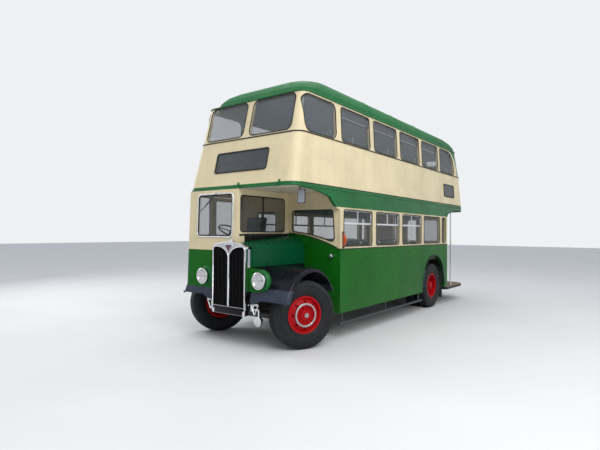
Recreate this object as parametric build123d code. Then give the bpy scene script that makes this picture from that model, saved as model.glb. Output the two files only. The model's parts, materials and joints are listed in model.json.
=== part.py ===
# Half-cab double decker bus with an open rear platform, at its real size.
# Frame: millimetres, +Z up, +Y towards the rear, +X towards the nearside (the bus's own left).
# The origin is on the ground, under the centre of the whole bus.
import os
from math import acos, asin, atan2, cos, hypot, pi, radians, sin

from build123d import *

os.makedirs("parts", exist_ok=True)

# Overall sizes
LENGTH = 7925.0
WIDTH = 2286.0
HEIGHT = 4340.0
ROOF_RISE = 435.0
FRONT_REACH = 762.0
SIDE_REACH = 1203.0
HALF = WIDTH / 2
REAR_FITTINGS = 20.0
REAR = LENGTH / 2 - REAR_FITTINGS
EVERYWHERE = (-LENGTH, LENGTH)

# The body's front stations are counted from ZERO, close behind the front axle, the rear ones from REAR
REAR_OVERHANG = 2265.0
PLATFORM_LENGTH = 1443.0
ZERO = -LENGTH / 2 + FRONT_REACH
AXLE_F = ZERO - 75.0
AXLE_R = REAR - REAR_OVERHANG

# Body stations along the length
BULKHEAD = ZERO + 656.0
PLATFORM_Y = REAR - PLATFORM_LENGTH
BAY = 1143.0
FIRST_PILLAR = 24.0
SHORT_BAY = 300.0
BAYS = int((PLATFORM_Y - BULKHEAD - FIRST_PILLAR - SHORT_BAY) // BAY)
CORNER_X = 480.0
REAR_RADIUS = 430.0

# Heights above the ground
SKIRT = 430.0
PLATFORM_Z = 400.0
SALOON_FLOOR = 660.0
CANOPY = 2430.0
DECK_T = 60.0
UPPER_FLOOR = CANOPY + DECK_T
GUTTER = HEIGHT - ROOF_RISE
UPPER_WAIST = GUTTER - 660.0
WINDOW_LOW = (1525.0, CANOPY - 295.0)
WINDOW_HIGH = (GUTTER - 625.0, GUTTER - 50.0)

# Panel and floor thicknesses
WALL = 50.0
BULKHEAD_T = 45.0
FLOOR_T = 40.0
PLATFORM_T = 60.0
GLASS_T = 6.0
SHEET = 10.0
SEATED = 0.3

# Upper deck: how far its walls lean in between the canopy and the gutter
FRONT_LOW = ZERO - 600.0
FRONT_LEAN = 355.0
SIDE_LEAN = 80.0
REAR_LEAN_WAIST = 95.0
REAR_LEAN = 330.0
FRONT_RADIUS = 150.0

# Windows
PILLAR_W = 165.0
PILLARS = [BULKHEAD + FIRST_PILLAR + BAY * k for k in range(BAYS + 1)]
BAY_WINDOWS = [(a + PILLAR_W / 2, b - PILLAR_W / 2) for a, b in zip(PILLARS, PILLARS[1:])]
PLATFORM_WINDOW = (PILLARS[-1] + PILLAR_W / 2, PLATFORM_Y - 130.0)
FRONT_QUARTER = (ZERO - 255.0, PILLARS[0] - PILLAR_W / 2)
REAR_QUARTER = (PILLARS[-1] + PILLAR_W / 2, REAR - 830.0)
FRONT_PANE_X = (65.0, 925.0)
FRONT_PANE_Z = (GUTTER - 615.0, GUTTER - 25.0)
REAR_PANE = (-560.0, CORNER_X - 120.0)

# Running gear
TYRE_R = 515.0
TYRE_W = 250.0
RIM_R = 268.0
FLANGE_R = RIM_R + 16.0
BEAD_R = RIM_R - SEATED
RIM_IN = RIM_R - 14.0
HAND_HOLES = 8
HAND_HOLE_R = 17.0
HAND_RING_R = 201.0
RIM_W = 190.0
WHEEL_X = 970.0
TWIN_X = (966.0, 672.0)
KINGPIN_X = 840.0
HUB_OFFSET = WHEEL_X - KINGPIN_X
STEER_REST = 24.0
PIN_R = 20.0
RUN = 0.5
ARM = 200.0
ROD_Z = 375.0

# Chassis frame
RAIL_X = 430.0
RAIL_W = 76.0
RAIL_T = 9.0
SPRING_LEAF = 14.0
AXLE_TUBE_R = 60.0
CROSSMEMBER_R = 26.0

# Half cab, bonnet, wings and radiator
CAB_FRONT_LOW = ZERO - 662.0
CAB_FRONT_TOP = ZERO - 612.0
CAB_FOOT = 850.0
CAB_WALL = 40.0
CAB_RADIUS = 110.0
CAB_INNER_X = 60.0
CAB_FLOOR = 1130.0
CAB_FLOOR_T = 30.0
WINDSCREEN_X = (-860.0, -35.0)
WINDSCREEN_Z = (1670.0, CANOPY - 65.0)
DOOR_Y = (ZERO - 60.0, ZERO + 600.0)
DOOR_Z = (1240.0, CANOPY - 50.0)
DOOR_GAP = 7.0
ARCH_R = 650.0
ARCH_Y = ZERO - 75.0
ARCH_Z = 568.0
WING_X = (420.0, 1128.0)
WING_ARC = (22.0, 164.0)
CAB_ARCH_X = 830.0
VALANCE_FOOT = 782.0
VALANCE_TOP = 1212.0
BONNET_X = (80.0, 420.0)
BONNET_Y = (ZERO - 646.0, BULKHEAD - 9.0)
BONNET_FOOT = 1222.0
RADIATOR_Y = (ZERO - 745.0, ZERO - 655.0)
RADIATOR_W = 360.0
RADIATOR_Z = (490.0, 1550.0, 1600.0)
SLATS = 22
SLAT_W = 10.0

# Emergency door at the back of the upper deck
EXIT_X = 575.0
EXIT_Z = (UPPER_WAIST + 10.0, GUTTER - 45.0)
EXIT_GAP = 8.0

# Seats
SEAT_PITCH = 690.0
SEAT_REAR = 275.0
SEAT_W = 860.0
CUSHION = (340.0, 450.0)
BACK_TOP = 930.0
LEG_IN = 150.0
LEG_W = 40.0


def block(x, y, z):
    """A box from three (low, high) pairs."""
    size = [b - a for a, b in (x, y, z)]
    centre = [(a + b) / 2 for a, b in (x, y, z)]
    return Pos(*centre) * Box(*size)


def rod(axis, radius, start, end, at):
    """A cylinder along an axis letter, between two stations, at its other two coordinates in order."""
    mid = (start + end) / 2
    place = {"x": (mid, *at), "y": (at[0], mid, at[1]), "z": (*at, mid)}[axis]
    turn = {"x": Rot(0, 90, 0), "y": Rot(90, 0, 0), "z": Rot(0, 0, 0)}[axis]
    return Pos(*place) * turn * Cylinder(radius, abs(end - start))


def outline(start, *moves):
    """A closed face from lines (an end point) and arcs (a pair: a middle point and an end point)."""
    edges, here = [], start
    for move in moves:
        if isinstance(move[0], tuple):
            edges.append(ThreePointArc(here, *move))
            here = move[1]
        else:
            edges.append(Line(here, move))
            here = move
    if hypot(here[0] - start[0], here[1] - start[1]) > 0.01:
        edges.append(Line(here, start))
    return make_face(edges)


def side_sheet(x, face):
    """A face drawn in (y, z), extruded across the bus between two x values."""
    plane = Plane(origin=(x[0], 0, 0), x_dir=(0, 1, 0), z_dir=(1, 0, 0))
    return extrude(plane * face, amount=x[1] - x[0])


def cross_sheet(y, face):
    """A face drawn in (x, z), extruded along the bus between two y values."""
    plane = Plane(origin=(0, y[1], 0), x_dir=(1, 0, 0), z_dir=(0, -1, 0))
    return extrude(plane * face, amount=y[1] - y[0])


def plan_sheet(z, face):
    """A face drawn in (x, y), extruded upwards between two heights."""
    return extrude(Pos(0, 0, z[0]) * face, amount=z[1] - z[0])


def side_window(y, z, x, radius=60.0):
    """A rounded prism through a side wall."""
    face = Pos(sum(y) / 2, sum(z) / 2) * RectangleRounded(y[1] - y[0], z[1] - z[0], radius)
    return side_sheet(x, face)


def end_window(x, z, y, radius=60.0):
    """A rounded prism through a wall that faces along the bus."""
    face = Pos(sum(x) / 2, sum(z) / 2) * RectangleRounded(x[1] - x[0], z[1] - z[0], radius)
    return cross_sheet(y, face)


def mirrored(shape):
    return mirror(shape, about=Plane.YZ)


def union(shapes):
    total = shapes[0]
    for shape in shapes[1:]:
        total = total + shape
    return total


def save(name, *shapes):
    solids = [solid for shape in shapes for solid in shape.solids()]
    export_step(Compound(children=solids), f"parts/{name}.step")


def blend(low, high, z, z_low, z_high):
    return low + (high - low) * (z - z_low) / (z_high - z_low)


def upright_edges(solid, rearwards):
    """The edges that run up the front or the rear corners of a body."""
    found = []
    for edge in solid.edges():
        a, b = edge.position_at(0), edge.position_at(1)
        if abs(a.Z - b.Z) > 300.0 and (a.Y + b.Y > 0) == rearwards:
            found.append(edge)
    return found


# Hinges: knuckle and pin radii, the length of one knuckle, and how far a leaf reaches from the pin
HINGE_R = 7.0
HINGE_PIN_R = 4.0
KNUCKLE = 22.0
LEAF = 26.0
LEAF_T = 6.0
HINGE_CLEAR = 1.5


def hinged(plane, stations, carrier, panel, reach=LEAF):
    """Hinges along a plane's y axis: the carrier gets two knuckles and the pin, the panel the one between."""
    for y in stations:
        clear = rod("y", HINGE_R + HINGE_CLEAR, y - 1.5 * KNUCKLE, y + 1.5 * KNUCKLE, (0.0, 0.0))
        fixed = rod("y", HINGE_PIN_R, y - 1.5 * KNUCKLE, y + 1.5 * KNUCKLE, (0.0, 0.0))
        for start in (y - 1.5 * KNUCKLE, y + 0.5 * KNUCKLE):
            fixed += rod("y", HINGE_R, start, start + KNUCKLE, (0.0, 0.0))
            fixed += block((-reach, 0.0), (start, start + KNUCKLE), (-LEAF_T / 2, LEAF_T / 2))
        span = (y - KNUCKLE / 2 + 1.0, y + KNUCKLE / 2 - 1.0)
        moving = rod("y", HINGE_R, *span, (0.0, 0.0)) + block((0.0, reach), span, (-LEAF_T / 2, LEAF_T / 2))
        moving -= rod("y", HINGE_PIN_R + RUN, *span, (0.0, 0.0))
        carrier = carrier - plane.location * clear + plane.location * fixed
        panel = panel - plane.location * clear + plane.location * moving
    return carrier, panel


# Body of the upper deck

def rear_face_y(z):
    return blend(REAR - REAR_LEAN_WAIST, REAR - REAR_LEAN, z, UPPER_WAIST, GUTTER)


def upper_solid(inset=0.0, spill=0.0):
    """The upper deck's block between canopy and gutter, moved in by a wall."""
    z = (CANOPY - spill, GUTTER + spill)
    w = [blend(HALF, HALF - SIDE_LEAN, k, CANOPY, GUTTER) - inset for k in z]
    f = [blend(FRONT_LOW, FRONT_LOW + FRONT_LEAN, k, CANOPY, GUTTER) + inset for k in z]
    waist = REAR - REAR_LEAN_WAIST - inset
    foot = blend(REAR - inset, waist, z[0], CANOPY, UPPER_WAIST)
    top = blend(waist, REAR - REAR_LEAN - inset, z[1], UPPER_WAIST, GUTTER)
    across = cross_sheet((-LENGTH, LENGTH), outline((-w[0], z[0]), (w[0], z[0]), (w[1], z[1]), (-w[1], z[1])))
    along = side_sheet((-WIDTH, WIDTH), outline((f[0], z[0]), (foot, z[0]), (waist, UPPER_WAIST),
                                                (top, z[1]), (f[1], z[1])))
    solid = across & along
    solid = fillet(upright_edges(solid, False), FRONT_RADIUS - inset)
    return fillet(upright_edges(solid, True), REAR_RADIUS - inset)


def front_face_y(z):
    return blend(FRONT_LOW, FRONT_LOW + FRONT_LEAN, z, CANOPY, GUTTER)


UPPER_SHELL = upper_solid() - upper_solid(WALL, 5.0)
FRONT_SPAN = (FRONT_LOW - 100.0, ZERO)
REAR_SPAN = (REAR - 800.0, REAR + 100.0)
NEAR_CUT = (HALF - 250.0, HALF + 50.0)


def rear_quarter_window():
    """The last side window of the upper deck: its top rear corner is one big curve."""
    end, top = REAR_QUARTER[1], WINDOW_HIGH[1]
    long, tall = 430.0, 400.0
    corner = outline((end, top - tall), ((end - 0.21 * long, top - 0.36 * tall), (end - long, top)),
                     (end - long, top + 50.0), (end + 50.0, top + 50.0), (end + 50.0, top - tall))
    return side_window(REAR_QUARTER, WINDOW_HIGH, NEAR_CUT) - side_sheet(NEAR_CUT, corner)


def upper_windows_side():
    bays = [side_window(bay, WINDOW_HIGH, NEAR_CUT) for bay in BAY_WINDOWS]
    return [side_window(FRONT_QUARTER, WINDOW_HIGH, NEAR_CUT, 120.0)] + bays + [rear_quarter_window()]


def upper_windows_front():
    return [end_window(x, FRONT_PANE_Z, FRONT_SPAN, 95.0)
            for x in (FRONT_PANE_X, (-FRONT_PANE_X[1], -FRONT_PANE_X[0]))]


def upper_panels():
    """The front, the two sides and the rear of the upper deck, split where its panels meet."""
    joint = front_face_y(CANOPY) + FRONT_RADIUS + 15.0
    ahead = side_sheet((-WIDTH, WIDTH), outline((joint - 600.0, CANOPY - 10.0), (joint, CANOPY - 10.0),
                                                (joint + FRONT_LEAN + 5.0, GUTTER + 10.0),
                                                (joint - 600.0, GUTTER + 10.0)))
    behind = block((-WIDTH, WIDTH), (REAR - REAR_LEAN - REAR_RADIUS - 20.0, LENGTH), (0.0, HEIGHT))
    near_half = block((0.0, WIDTH), EVERYWHERE, (0.0, HEIGHT))
    front, rear = UPPER_SHELL & ahead, UPPER_SHELL & behind
    sides = UPPER_SHELL - ahead - behind
    near, off = sides & near_half, sides - near_half
    for opening in upper_windows_side():
        near -= opening
        off -= mirrored(opening)
    front -= upper_windows_side()[0] + mirrored(upper_windows_side()[0])
    for opening in upper_windows_front():
        front -= opening
    rear -= end_window((-EXIT_X, EXIT_X), EXIT_Z, REAR_SPAN)
    return front, near, off, rear


def emergency_door(carrier):
    """The hinged panel at the back of the upper deck, with its two windows, and the wall that carries it."""
    x = (-EXIT_X + EXIT_GAP, EXIT_X - EXIT_GAP)
    z = (EXIT_Z[0] + EXIT_GAP, EXIT_Z[1] - EXIT_GAP)
    panel = UPPER_SHELL & end_window(x, z, REAR_SPAN, 52.0)
    for side in (-1, 1):
        pane = sorted((side * 35.0, side * (x[1] - 60.0)))
        panel -= end_window(pane, (z[0] + 60.0, z[1] - 60.0), REAR_SPAN, 45.0)
    pin_z = EXIT_Z[1] - EXIT_GAP / 2
    lean = atan2(REAR_LEAN - REAR_LEAN_WAIST, GUTTER - UPPER_WAIST)
    face = Plane(origin=(0, rear_face_y(pin_z), pin_z), x_dir=(0, sin(lean), -cos(lean)),
                 z_dir=(0, cos(lean), sin(lean)))
    return hinged(face, (-EXIT_X + 175.0, EXIT_X - 175.0), carrier, panel)


# Roof: its plan at each level is (share of the roof's rise, inset at sides, at front, at rear, corner radius)
ROOF_LEVELS = (
    (0.0, 0.0, 0.0, 0.0, 400.0),
    (20.0 / 87.0, 17.0, 60.0, 110.0, 400.0),
    (38.0 / 87.0, 62.0, 155.0, 260.0, 400.0),
    (54.0 / 87.0, 137.0, 295.0, 460.0, 400.0),
    (68.0 / 87.0, 272.0, 495.0, 730.0, 380.0),
    (79.0 / 87.0, 502.0, 795.0, 1090.0, 330.0),
    (1.0, 872.0, 1235.0, 1570.0, 120.0),
)


def roof_face(level, inset=0.0, drop=0.0):
    rise, side, front, rear, radius = level
    w = HALF - SIDE_LEAN - side - inset
    y = (FRONT_LOW + FRONT_LEAN + front + inset, REAR - REAR_LEAN - rear - inset)
    face = Pos(0, sum(y) / 2) * RectangleRounded(2 * w, y[1] - y[0], max(radius - inset, 40.0))
    return Pos(0, 0, GUTTER + rise * ROOF_RISE - drop) * face


def roof():
    """A shell whose rounded plan shrinks towards the crown."""
    outer = loft([roof_face(level) for level in ROOF_LEVELS], ruled=True)
    lining = [roof_face(ROOF_LEVELS[0], WALL, 5.0)] + [roof_face(k, WALL, 30.0) for k in ROOF_LEVELS[1:]]
    return outer - loft(lining, ruled=True)


# Body of the lower deck

def lower_solid(inset=0.0, spill=0.0):
    solid = block((-HALF + inset, HALF - inset), (BULKHEAD - 2 * spill, REAR - inset),
                  (SKIRT - spill, CANOPY + spill))
    return fillet(upright_edges(solid, True), REAR_RADIUS - inset)


LOWER_SHELL = lower_solid() - lower_solid(WALL, 5.0)
REAR_ARCH_Y = AXLE_R - 60.0
REAR_ARCH_R = 690.0
REAR_ARCH_TOP = 1240.0


def rear_arch(x):
    """The opening over the rear wheels: an ellipse-like arch, open at the skirt."""
    foot = SKIRT - 30.0
    low, top = (REAR_ARCH_Y - REAR_ARCH_R, foot), (REAR_ARCH_Y, REAR_ARCH_TOP)
    shoulder_z = blend(foot, REAR_ARCH_TOP, 0.74, 0.0, 1.0)
    left, right = ((REAR_ARCH_Y - k * 0.70 * REAR_ARCH_R, shoulder_z) for k in (1, -1))
    return side_sheet(x, outline(low, (left, top), (right, (REAR_ARCH_Y + REAR_ARCH_R, foot))))


def lower_side(side):
    """A lower deck side wall with its windows and the rear wheels' arch."""
    end = PLATFORM_Y if side > 0 else REAR - REAR_RADIUS - 10.0
    wall = LOWER_SHELL & block((0.0, WIDTH), (BULKHEAD - 5.0, end), (0.0, HEIGHT))
    cut = (HALF - WALL - 20.0, HALF + 20.0)
    for bay in BAY_WINDOWS + [PLATFORM_WINDOW]:
        wall -= side_window(bay, WINDOW_LOW, cut, 45.0)
    wall -= rear_arch(cut)
    if side < 0:
        return mirrored(wall)
    skirt = outline((BULKHEAD, CANOPY), (ZERO - 424.0, CANOPY), (ZERO - 424.0, CANOPY - 12.0),
                    ((ZERO + 20.0, CANOPY - 41.0), (ZERO + 365.0, CANOPY - 113.0)),
                    ((ZERO + 500.0, CANOPY - 234.0), (ZERO + 600.0, CANOPY - 292.0)),
                    (BULKHEAD, CANOPY - 292.0))
    return wall + side_sheet((HALF - WALL, HALF), skirt)


def lower_rear():
    """The rear wall, open at the nearside corner, with the band that goes round over the entrance."""
    wall = LOWER_SHELL & block((-WIDTH, CORNER_X), (REAR - REAR_RADIUS - 10.0, LENGTH), (0.0, HEIGHT))
    band = outline((PLATFORM_Y, CANOPY), (PLATFORM_Y, CANOPY - 265.0),
                   ((PLATFORM_Y + 45.0, CANOPY - 202.0), (PLATFORM_Y + 130.0, CANOPY - 168.0)),
                   ((PLATFORM_Y + 520.0, CANOPY - 110.0), (PLATFORM_Y + 980.0, CANOPY - 85.0)),
                   (LENGTH, CANOPY - 85.0), (LENGTH, CANOPY))
    band = LOWER_SHELL & side_sheet((CORNER_X - 1.0, WIDTH), band)
    return wall + band - end_window(REAR_PANE, WINDOW_LOW, (REAR - WALL - 20.0, REAR + 20.0), 90.0)


BULKHEAD_Y = (BULKHEAD, BULKHEAD + BULKHEAD_T)
CAB_REAR_PANE = ((-700.0, -250.0), (CANOPY - 680.0, CANOPY - 300.0))


def near_bulkhead_pane(y):
    """The nearside bulkhead window: its sill drops towards the outside."""
    top = CANOPY - 300.0
    return cross_sheet(y, outline((200.0, top), ((165.0, top - 14.0), (152.0, top - 50.0)),
                                  (152.0, top - 330.0), ((162.0, top - 355.0), (185.0, top - 365.0)),
                                  ((600.0, top - 424.0), (950.0, top - 518.0)),
                                  ((1010.0, top - 505.0), (1030.0, top - 450.0)),
                                  (1000.0, top - 45.0), ((985.0, top - 12.0), (950.0, top))))


def front_bulkhead():
    """The wall between the lower saloon and the bonnet and cab."""
    inner = HALF - WALL
    foot, tunnel = SALOON_FLOOR - FLOOR_T, 545.0
    face = outline((-inner, SKIRT), (-tunnel, SKIRT), (-tunnel, foot), (tunnel, foot), (tunnel, SKIRT),
                   (inner, SKIRT), (inner, CANOPY), (-inner, CANOPY))
    through = (BULKHEAD - 20.0, BULKHEAD + BULKHEAD_T + 20.0)
    return cross_sheet(BULKHEAD_Y, face) - near_bulkhead_pane(through) - end_window(*CAB_REAR_PANE, through)


REAR_BULKHEAD_Y = (PLATFORM_Y - 40.0, PLATFORM_Y)
SALOON_DOOR_X = 330.0
REAR_BULKHEAD_PANE = (430.0, 1010.0)


def rear_bulkhead():
    """The wall between the lower saloon and the platform, with its doorway."""
    inner = HALF - WALL
    wall = block((-inner, inner), REAR_BULKHEAD_Y, (PLATFORM_Z, CANOPY))
    through = (PLATFORM_Y - 100.0, PLATFORM_Y + 100.0)
    wall -= end_window((-SALOON_DOOR_X, SALOON_DOOR_X), (SALOON_FLOOR, CANOPY - 80.0), through, 50.0)
    wall -= block((-SALOON_DOOR_X, SALOON_DOOR_X), through, (SALOON_FLOOR, SALOON_FLOOR + 100.0))
    return wall - end_window(REAR_BULKHEAD_PANE, WINDOW_LOW, through)


# Floors
WHEEL_BOX_X = (365.0, HALF - WALL)
WHEEL_BOX_Y = (AXLE_R - 700.0, AXLE_R + 610.0)
WHEEL_BOX_Z = 1150.0
WHEEL_BOX_T = 15.0
STAIR_X = (-HALF + WALL, -545.0)
STEPS = 9
RISE = (UPPER_FLOOR - PLATFORM_Z) / STEPS
TREAD = 165.0
TREAD_T = 30.0
FOOT_Y = (REAR - 430.0, REAR - 80.0)
WINDERS = ((-515.0, -330.0), (-740.0, -515.0), (-1080.0, -740.0))
FIRST = len(WINDERS) + 1
STAIRWELL_Y = (FOOT_Y[0] - (STEPS - FIRST) * TREAD, REAR - 260.0)


MAT_T = 3.0
PLATFORM_MAT = ((-250.0, 1000.0), (PLATFORM_Y + 90.0, PLATFORM_Y + 840.0))


def saloon_floor():
    """The lower deck's floor, with the boxes over the rear wheels and a mat down the aisle."""
    inner, under = HALF - WALL, SALOON_FLOOR - FLOOR_T
    floor = block((-inner, inner), (BULKHEAD_Y[1], REAR_BULKHEAD_Y[0]), (under, SALOON_FLOOR))
    box = block(WHEEL_BOX_X, WHEEL_BOX_Y, (under, WHEEL_BOX_Z))
    hollow = block((WHEEL_BOX_X[0] + WHEEL_BOX_T, WHEEL_BOX_X[1]),
                   (WHEEL_BOX_Y[0] + WHEEL_BOX_T, WHEEL_BOX_Y[1] - WHEEL_BOX_T),
                   (under - 10.0, WHEEL_BOX_Z - WHEEL_BOX_T))
    mat = block((-200.0, 200.0), (BULKHEAD_Y[1] + 20.0, REAR_BULKHEAD_Y[0] - 20.0),
                (SALOON_FLOOR, SALOON_FLOOR + MAT_T))
    return floor + box + mirrored(box) - hollow - mirrored(hollow) + mat


def platform():
    """The open rear platform, rounded like the body, out to its sides where the corner is open."""
    z = (SKIRT, SKIRT + PLATFORM_T)
    inner = lower_solid(WALL) & block((-WIDTH, WIDTH), (PLATFORM_Y - 40.0, LENGTH), z)
    outer = lower_solid() & block((CORNER_X, WIDTH), (PLATFORM_Y + 5.0, LENGTH), z)
    slab = Pos(0, 0, PLATFORM_Z - PLATFORM_T - SKIRT) * (inner + outer)
    return slab + block(*PLATFORM_MAT, (PLATFORM_Z, PLATFORM_Z + MAT_T))


def upper_floor():
    """The upper deck's floor with its mat, also the lower deck's ceiling and the canopy over the bonnet."""
    plan = upper_solid(WALL) & block((-WIDTH, WIDTH), EVERYWHERE, (CANOPY, UPPER_FLOOR))
    mat = block((-130.0, 130.0), (ZERO - 100.0, REAR - 540.0), (UPPER_FLOOR, UPPER_FLOOR + MAT_T))
    return plan - block(STAIR_X, STAIRWELL_Y, (CANOPY - 10.0, UPPER_FLOOR + 10.0)) + mat


def corner_winder(x):
    """The plan of the step in the corner, rounded like the wall beside it."""
    radius = REAR_RADIUS - WALL - SEATED
    cx, cy = REAR_RADIUS - HALF, REAR - REAR_RADIUS
    a, b = asin((FOOT_Y[1] - cy) / radius), acos((cx - x[0]) / radius)
    start, middle, end = ((cx - radius * cos(t), cy + radius * sin(t)) for t in (a, (a + b) / 2, b))
    return outline((x[1], FOOT_Y[0]), (x[1], FOOT_Y[1]), start, (middle, end), (x[0], FOOT_Y[0]))


def staircase():
    """Three steps across the back of the platform, then a straight flight forward."""
    pieces = []
    for k, x in enumerate(WINDERS, start=1):
        top = PLATFORM_Z + k * RISE
        step = block(x, FOOT_Y, (top - TREAD_T, top))
        pieces.append(step if x != WINDERS[-1] else plan_sheet((top - TREAD_T, top), corner_winder(x)))
        pieces.append(block((x[1] - 20.0, x[1]), FOOT_Y, (top - RISE - (0 if k == 1 else TREAD_T), top)))
    pieces.append(block(WINDERS[2], (FOOT_Y[0] - 20.0, FOOT_Y[0]), (top - TREAD_T, top)))
    for k in range(FIRST, STEPS + 1):
        top = PLATFORM_Z + k * RISE
        y = FOOT_Y[0] - (k - FIRST) * TREAD
        if k < STEPS:
            pieces.append(block(STAIR_X, (y - TREAD, y), (top - TREAD_T, top)))
        pieces.append(block(STAIR_X, (y - 20.0, y), (top - RISE - TREAD_T, min(top, CANOPY))))
    foot, top = FOOT_Y[0], STAIRWELL_Y[0] - 20.0
    low, high = PLATFORM_Z + len(WINDERS) * RISE, PLATFORM_Z + (STEPS - 1) * RISE
    stringer = outline((foot, PLATFORM_Z), (foot, low + 330.0), (top + 120.0, CANOPY), (top, CANOPY),
                       (top, high - 330.0), (foot - 250.0, PLATFORM_Z))
    pieces.append(side_sheet((STAIR_X[1], STAIR_X[1] + 22.0), stringer))
    return union(pieces)


# Cab, bonnet, wings and radiator

def cab_solid(inset=0.0, spill=0.0):
    z = (CAB_FOOT - spill, CANOPY + spill)
    y = [blend(CAB_FRONT_LOW, CAB_FRONT_TOP, k, CAB_FOOT, CANOPY) + inset for k in z]
    face = outline((y[0], z[0]), (BULKHEAD + spill, z[0]), (BULKHEAD + spill, z[1]), (y[1], z[1]))
    solid = side_sheet((-HALF + inset, CAB_INNER_X - inset), face)
    corner = [e for e in upright_edges(solid, False) if e.center().X < 0 and e.center().Y < ZERO]
    return fillet(corner, CAB_RADIUS - inset)


def cab_front_y(z):
    return blend(CAB_FRONT_LOW, CAB_FRONT_TOP, z, CAB_FOOT, CANOPY)


CAB_SHELL = cab_solid() - cab_solid(CAB_WALL, 5.0)
CAB_SPLIT = CAB_FRONT_LOW + CAB_RADIUS + 90.0
CAB_QUARTER = (CAB_SPLIT + 30.0, DOOR_Y[0] - 55.0)
CAB_NEAR_PANE = ((ZERO - 550.0, ZERO + 530.0), (1755.0, CANOPY - 100.0))


def cab_front():
    """The cab's front with its windscreen and rounded corner."""
    front = CAB_SHELL & block((-WIDTH, CAB_INNER_X), (-LENGTH, CAB_SPLIT), (0.0, HEIGHT))
    front -= end_window(WINDSCREEN_X, WINDSCREEN_Z, (CAB_FRONT_LOW - 50.0, CAB_FRONT_LOW + 180.0), 50.0)
    front -= side_window(*CAB_NEAR_PANE, (0.0, CAB_INNER_X + 20.0), 50.0)
    front -= cross_sheet(RADIATOR_Y, radiator_outline())
    front -= block((-WING_X[0], CAB_INNER_X), (-LENGTH, CAB_SPLIT), (0.0, VALANCE_TOP))
    return front - rod("x", ARCH_R, -WIDTH, 0.0, (ARCH_Y, ARCH_Z))


def cab_side_offside():
    """The cab's outer side, with the doorway, the quarter light and the edge over the wheel."""
    side = CAB_SHELL & block((-WIDTH, -HALF + 200.0), (CAB_SPLIT, BULKHEAD), (0.0, HEIGHT))
    cut = (-HALF - 20.0, -HALF + CAB_WALL + 20.0)
    side -= side_window(DOOR_Y, DOOR_Z, cut, 40.0)
    side -= side_window(CAB_QUARTER, (WINDSCREEN_Z[0] + 20.0, WINDSCREEN_Z[1]), cut, 45.0)
    return side - rod("x", ARCH_R, -HALF - 20.0, 0.0, (ARCH_Y, ARCH_Z))


def cab_partition():
    """The cab's inner side, beside the bonnet, and its floor."""
    wall = CAB_SHELL & block((CAB_INNER_X - CAB_WALL, CAB_INNER_X), (CAB_SPLIT, BULKHEAD), (0.0, HEIGHT))
    wall -= side_window(*CAB_NEAR_PANE, (0.0, CAB_INNER_X + 20.0), 50.0)
    wall -= block((0.0, CAB_INNER_X), EVERYWHERE, (0.0, CAB_FLOOR - CAB_FLOOR_T))
    floor = block((-HALF + CAB_WALL, CAB_INNER_X - CAB_WALL), (CAB_SPLIT, BULKHEAD),
                  (CAB_FLOOR - CAB_FLOOR_T, CAB_FLOOR))
    return wall + floor - rod("x", ARCH_R, -WIDTH, -CAB_ARCH_X, (ARCH_Y, ARCH_Z))


def cab_door(carrier):
    """The driver's door, hinged at its rear edge, and the side that carries it."""
    y = (DOOR_Y[0] + DOOR_GAP, DOOR_Y[1] - DOOR_GAP)
    z = (DOOR_Z[0] + DOOR_GAP, DOOR_Z[1] - DOOR_GAP)
    door = side_window(y, z, (-HALF, -HALF + CAB_WALL - 5.0), 35.0)
    pane = side_window((y[0] + 65.0, y[1] - 65.0), (WINDSCREEN_Z[0] + 20.0, z[1] - 60.0),
                       (-HALF - 20.0, -HALF + 60.0), 45.0)
    handle = rod("y", 9.0, y[0] + 70.0, y[0] + 200.0, (-HALF - 30.0, 1560.0))
    posts = [rod("x", 7.0, -HALF - 30.0, -HALF, (y[0] + k, 1560.0)) for k in (85.0, 185.0)]
    jamb = Plane(origin=(-HALF, DOOR_Y[1] - DOOR_GAP / 2, 0), x_dir=(0, -1, 0), z_dir=(-1, 0, 0))
    return hinged(jamb, (z[0] + 150.0, z[1] - 150.0), carrier, union([door - pane, handle] + posts))


BONNET_ENDS = (
    # station, height at the hinge side, height at the middle, height at the shoulder
    (BONNET_Y[0], 1580.0, 1566.0, 1520.0),
    (BONNET_Y[1], 1698.0, 1668.0, 1545.0),
)
BONNET_T = 14.0
BONNET_HINGES = (240.0, 690.0, 1140.0)


def bonnet_lid(carrier):
    """The lifting bonnet: a domed top with a shoulder and an upright side, hinged along the cab."""
    sections = []
    near = BONNET_X[1]
    for y, hinge, middle, shoulder in BONNET_ENDS:
        outer = ((BONNET_X[0], hinge), (260.0, middle), (380.0, shoulder + 22.0), (near, shoulder - 22.0),
                 (near, BONNET_FOOT))
        inner = ((near - BONNET_T, BONNET_FOOT), (near - BONNET_T, shoulder - 28.0), (372.0, shoulder + 8.0),
                 (256.0, middle - BONNET_T), (BONNET_X[0], hinge - BONNET_T))
        plane = Plane(origin=(0, y, 0), x_dir=(1, 0, 0), z_dir=(0, -1, 0))
        sections.append(plane * make_face(Polyline(*outer, *inner, close=True)))
    catch = rod("z", 9.0, BONNET_FOOT + 10.0, BONNET_FOOT + 70.0, (near + 22.0, BONNET_Y[0] + 330.0))
    stem = rod("x", 7.0, near - 5.0, near + 22.0, (BONNET_Y[0] + 330.0, BONNET_FOOT + 40.0))
    (y0, z0, *_), (y1, z1, *_) = BONNET_ENDS
    slope = atan2(z1 - z0, y1 - y0)
    edge = Plane(origin=(BONNET_X[0] - 10.0, y0, z0), x_dir=(1, 0, 0), z_dir=(0, -sin(slope), cos(slope)))
    return hinged(edge, BONNET_HINGES, carrier, loft(sections, ruled=True) + stem + catch, 12.0)


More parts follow.
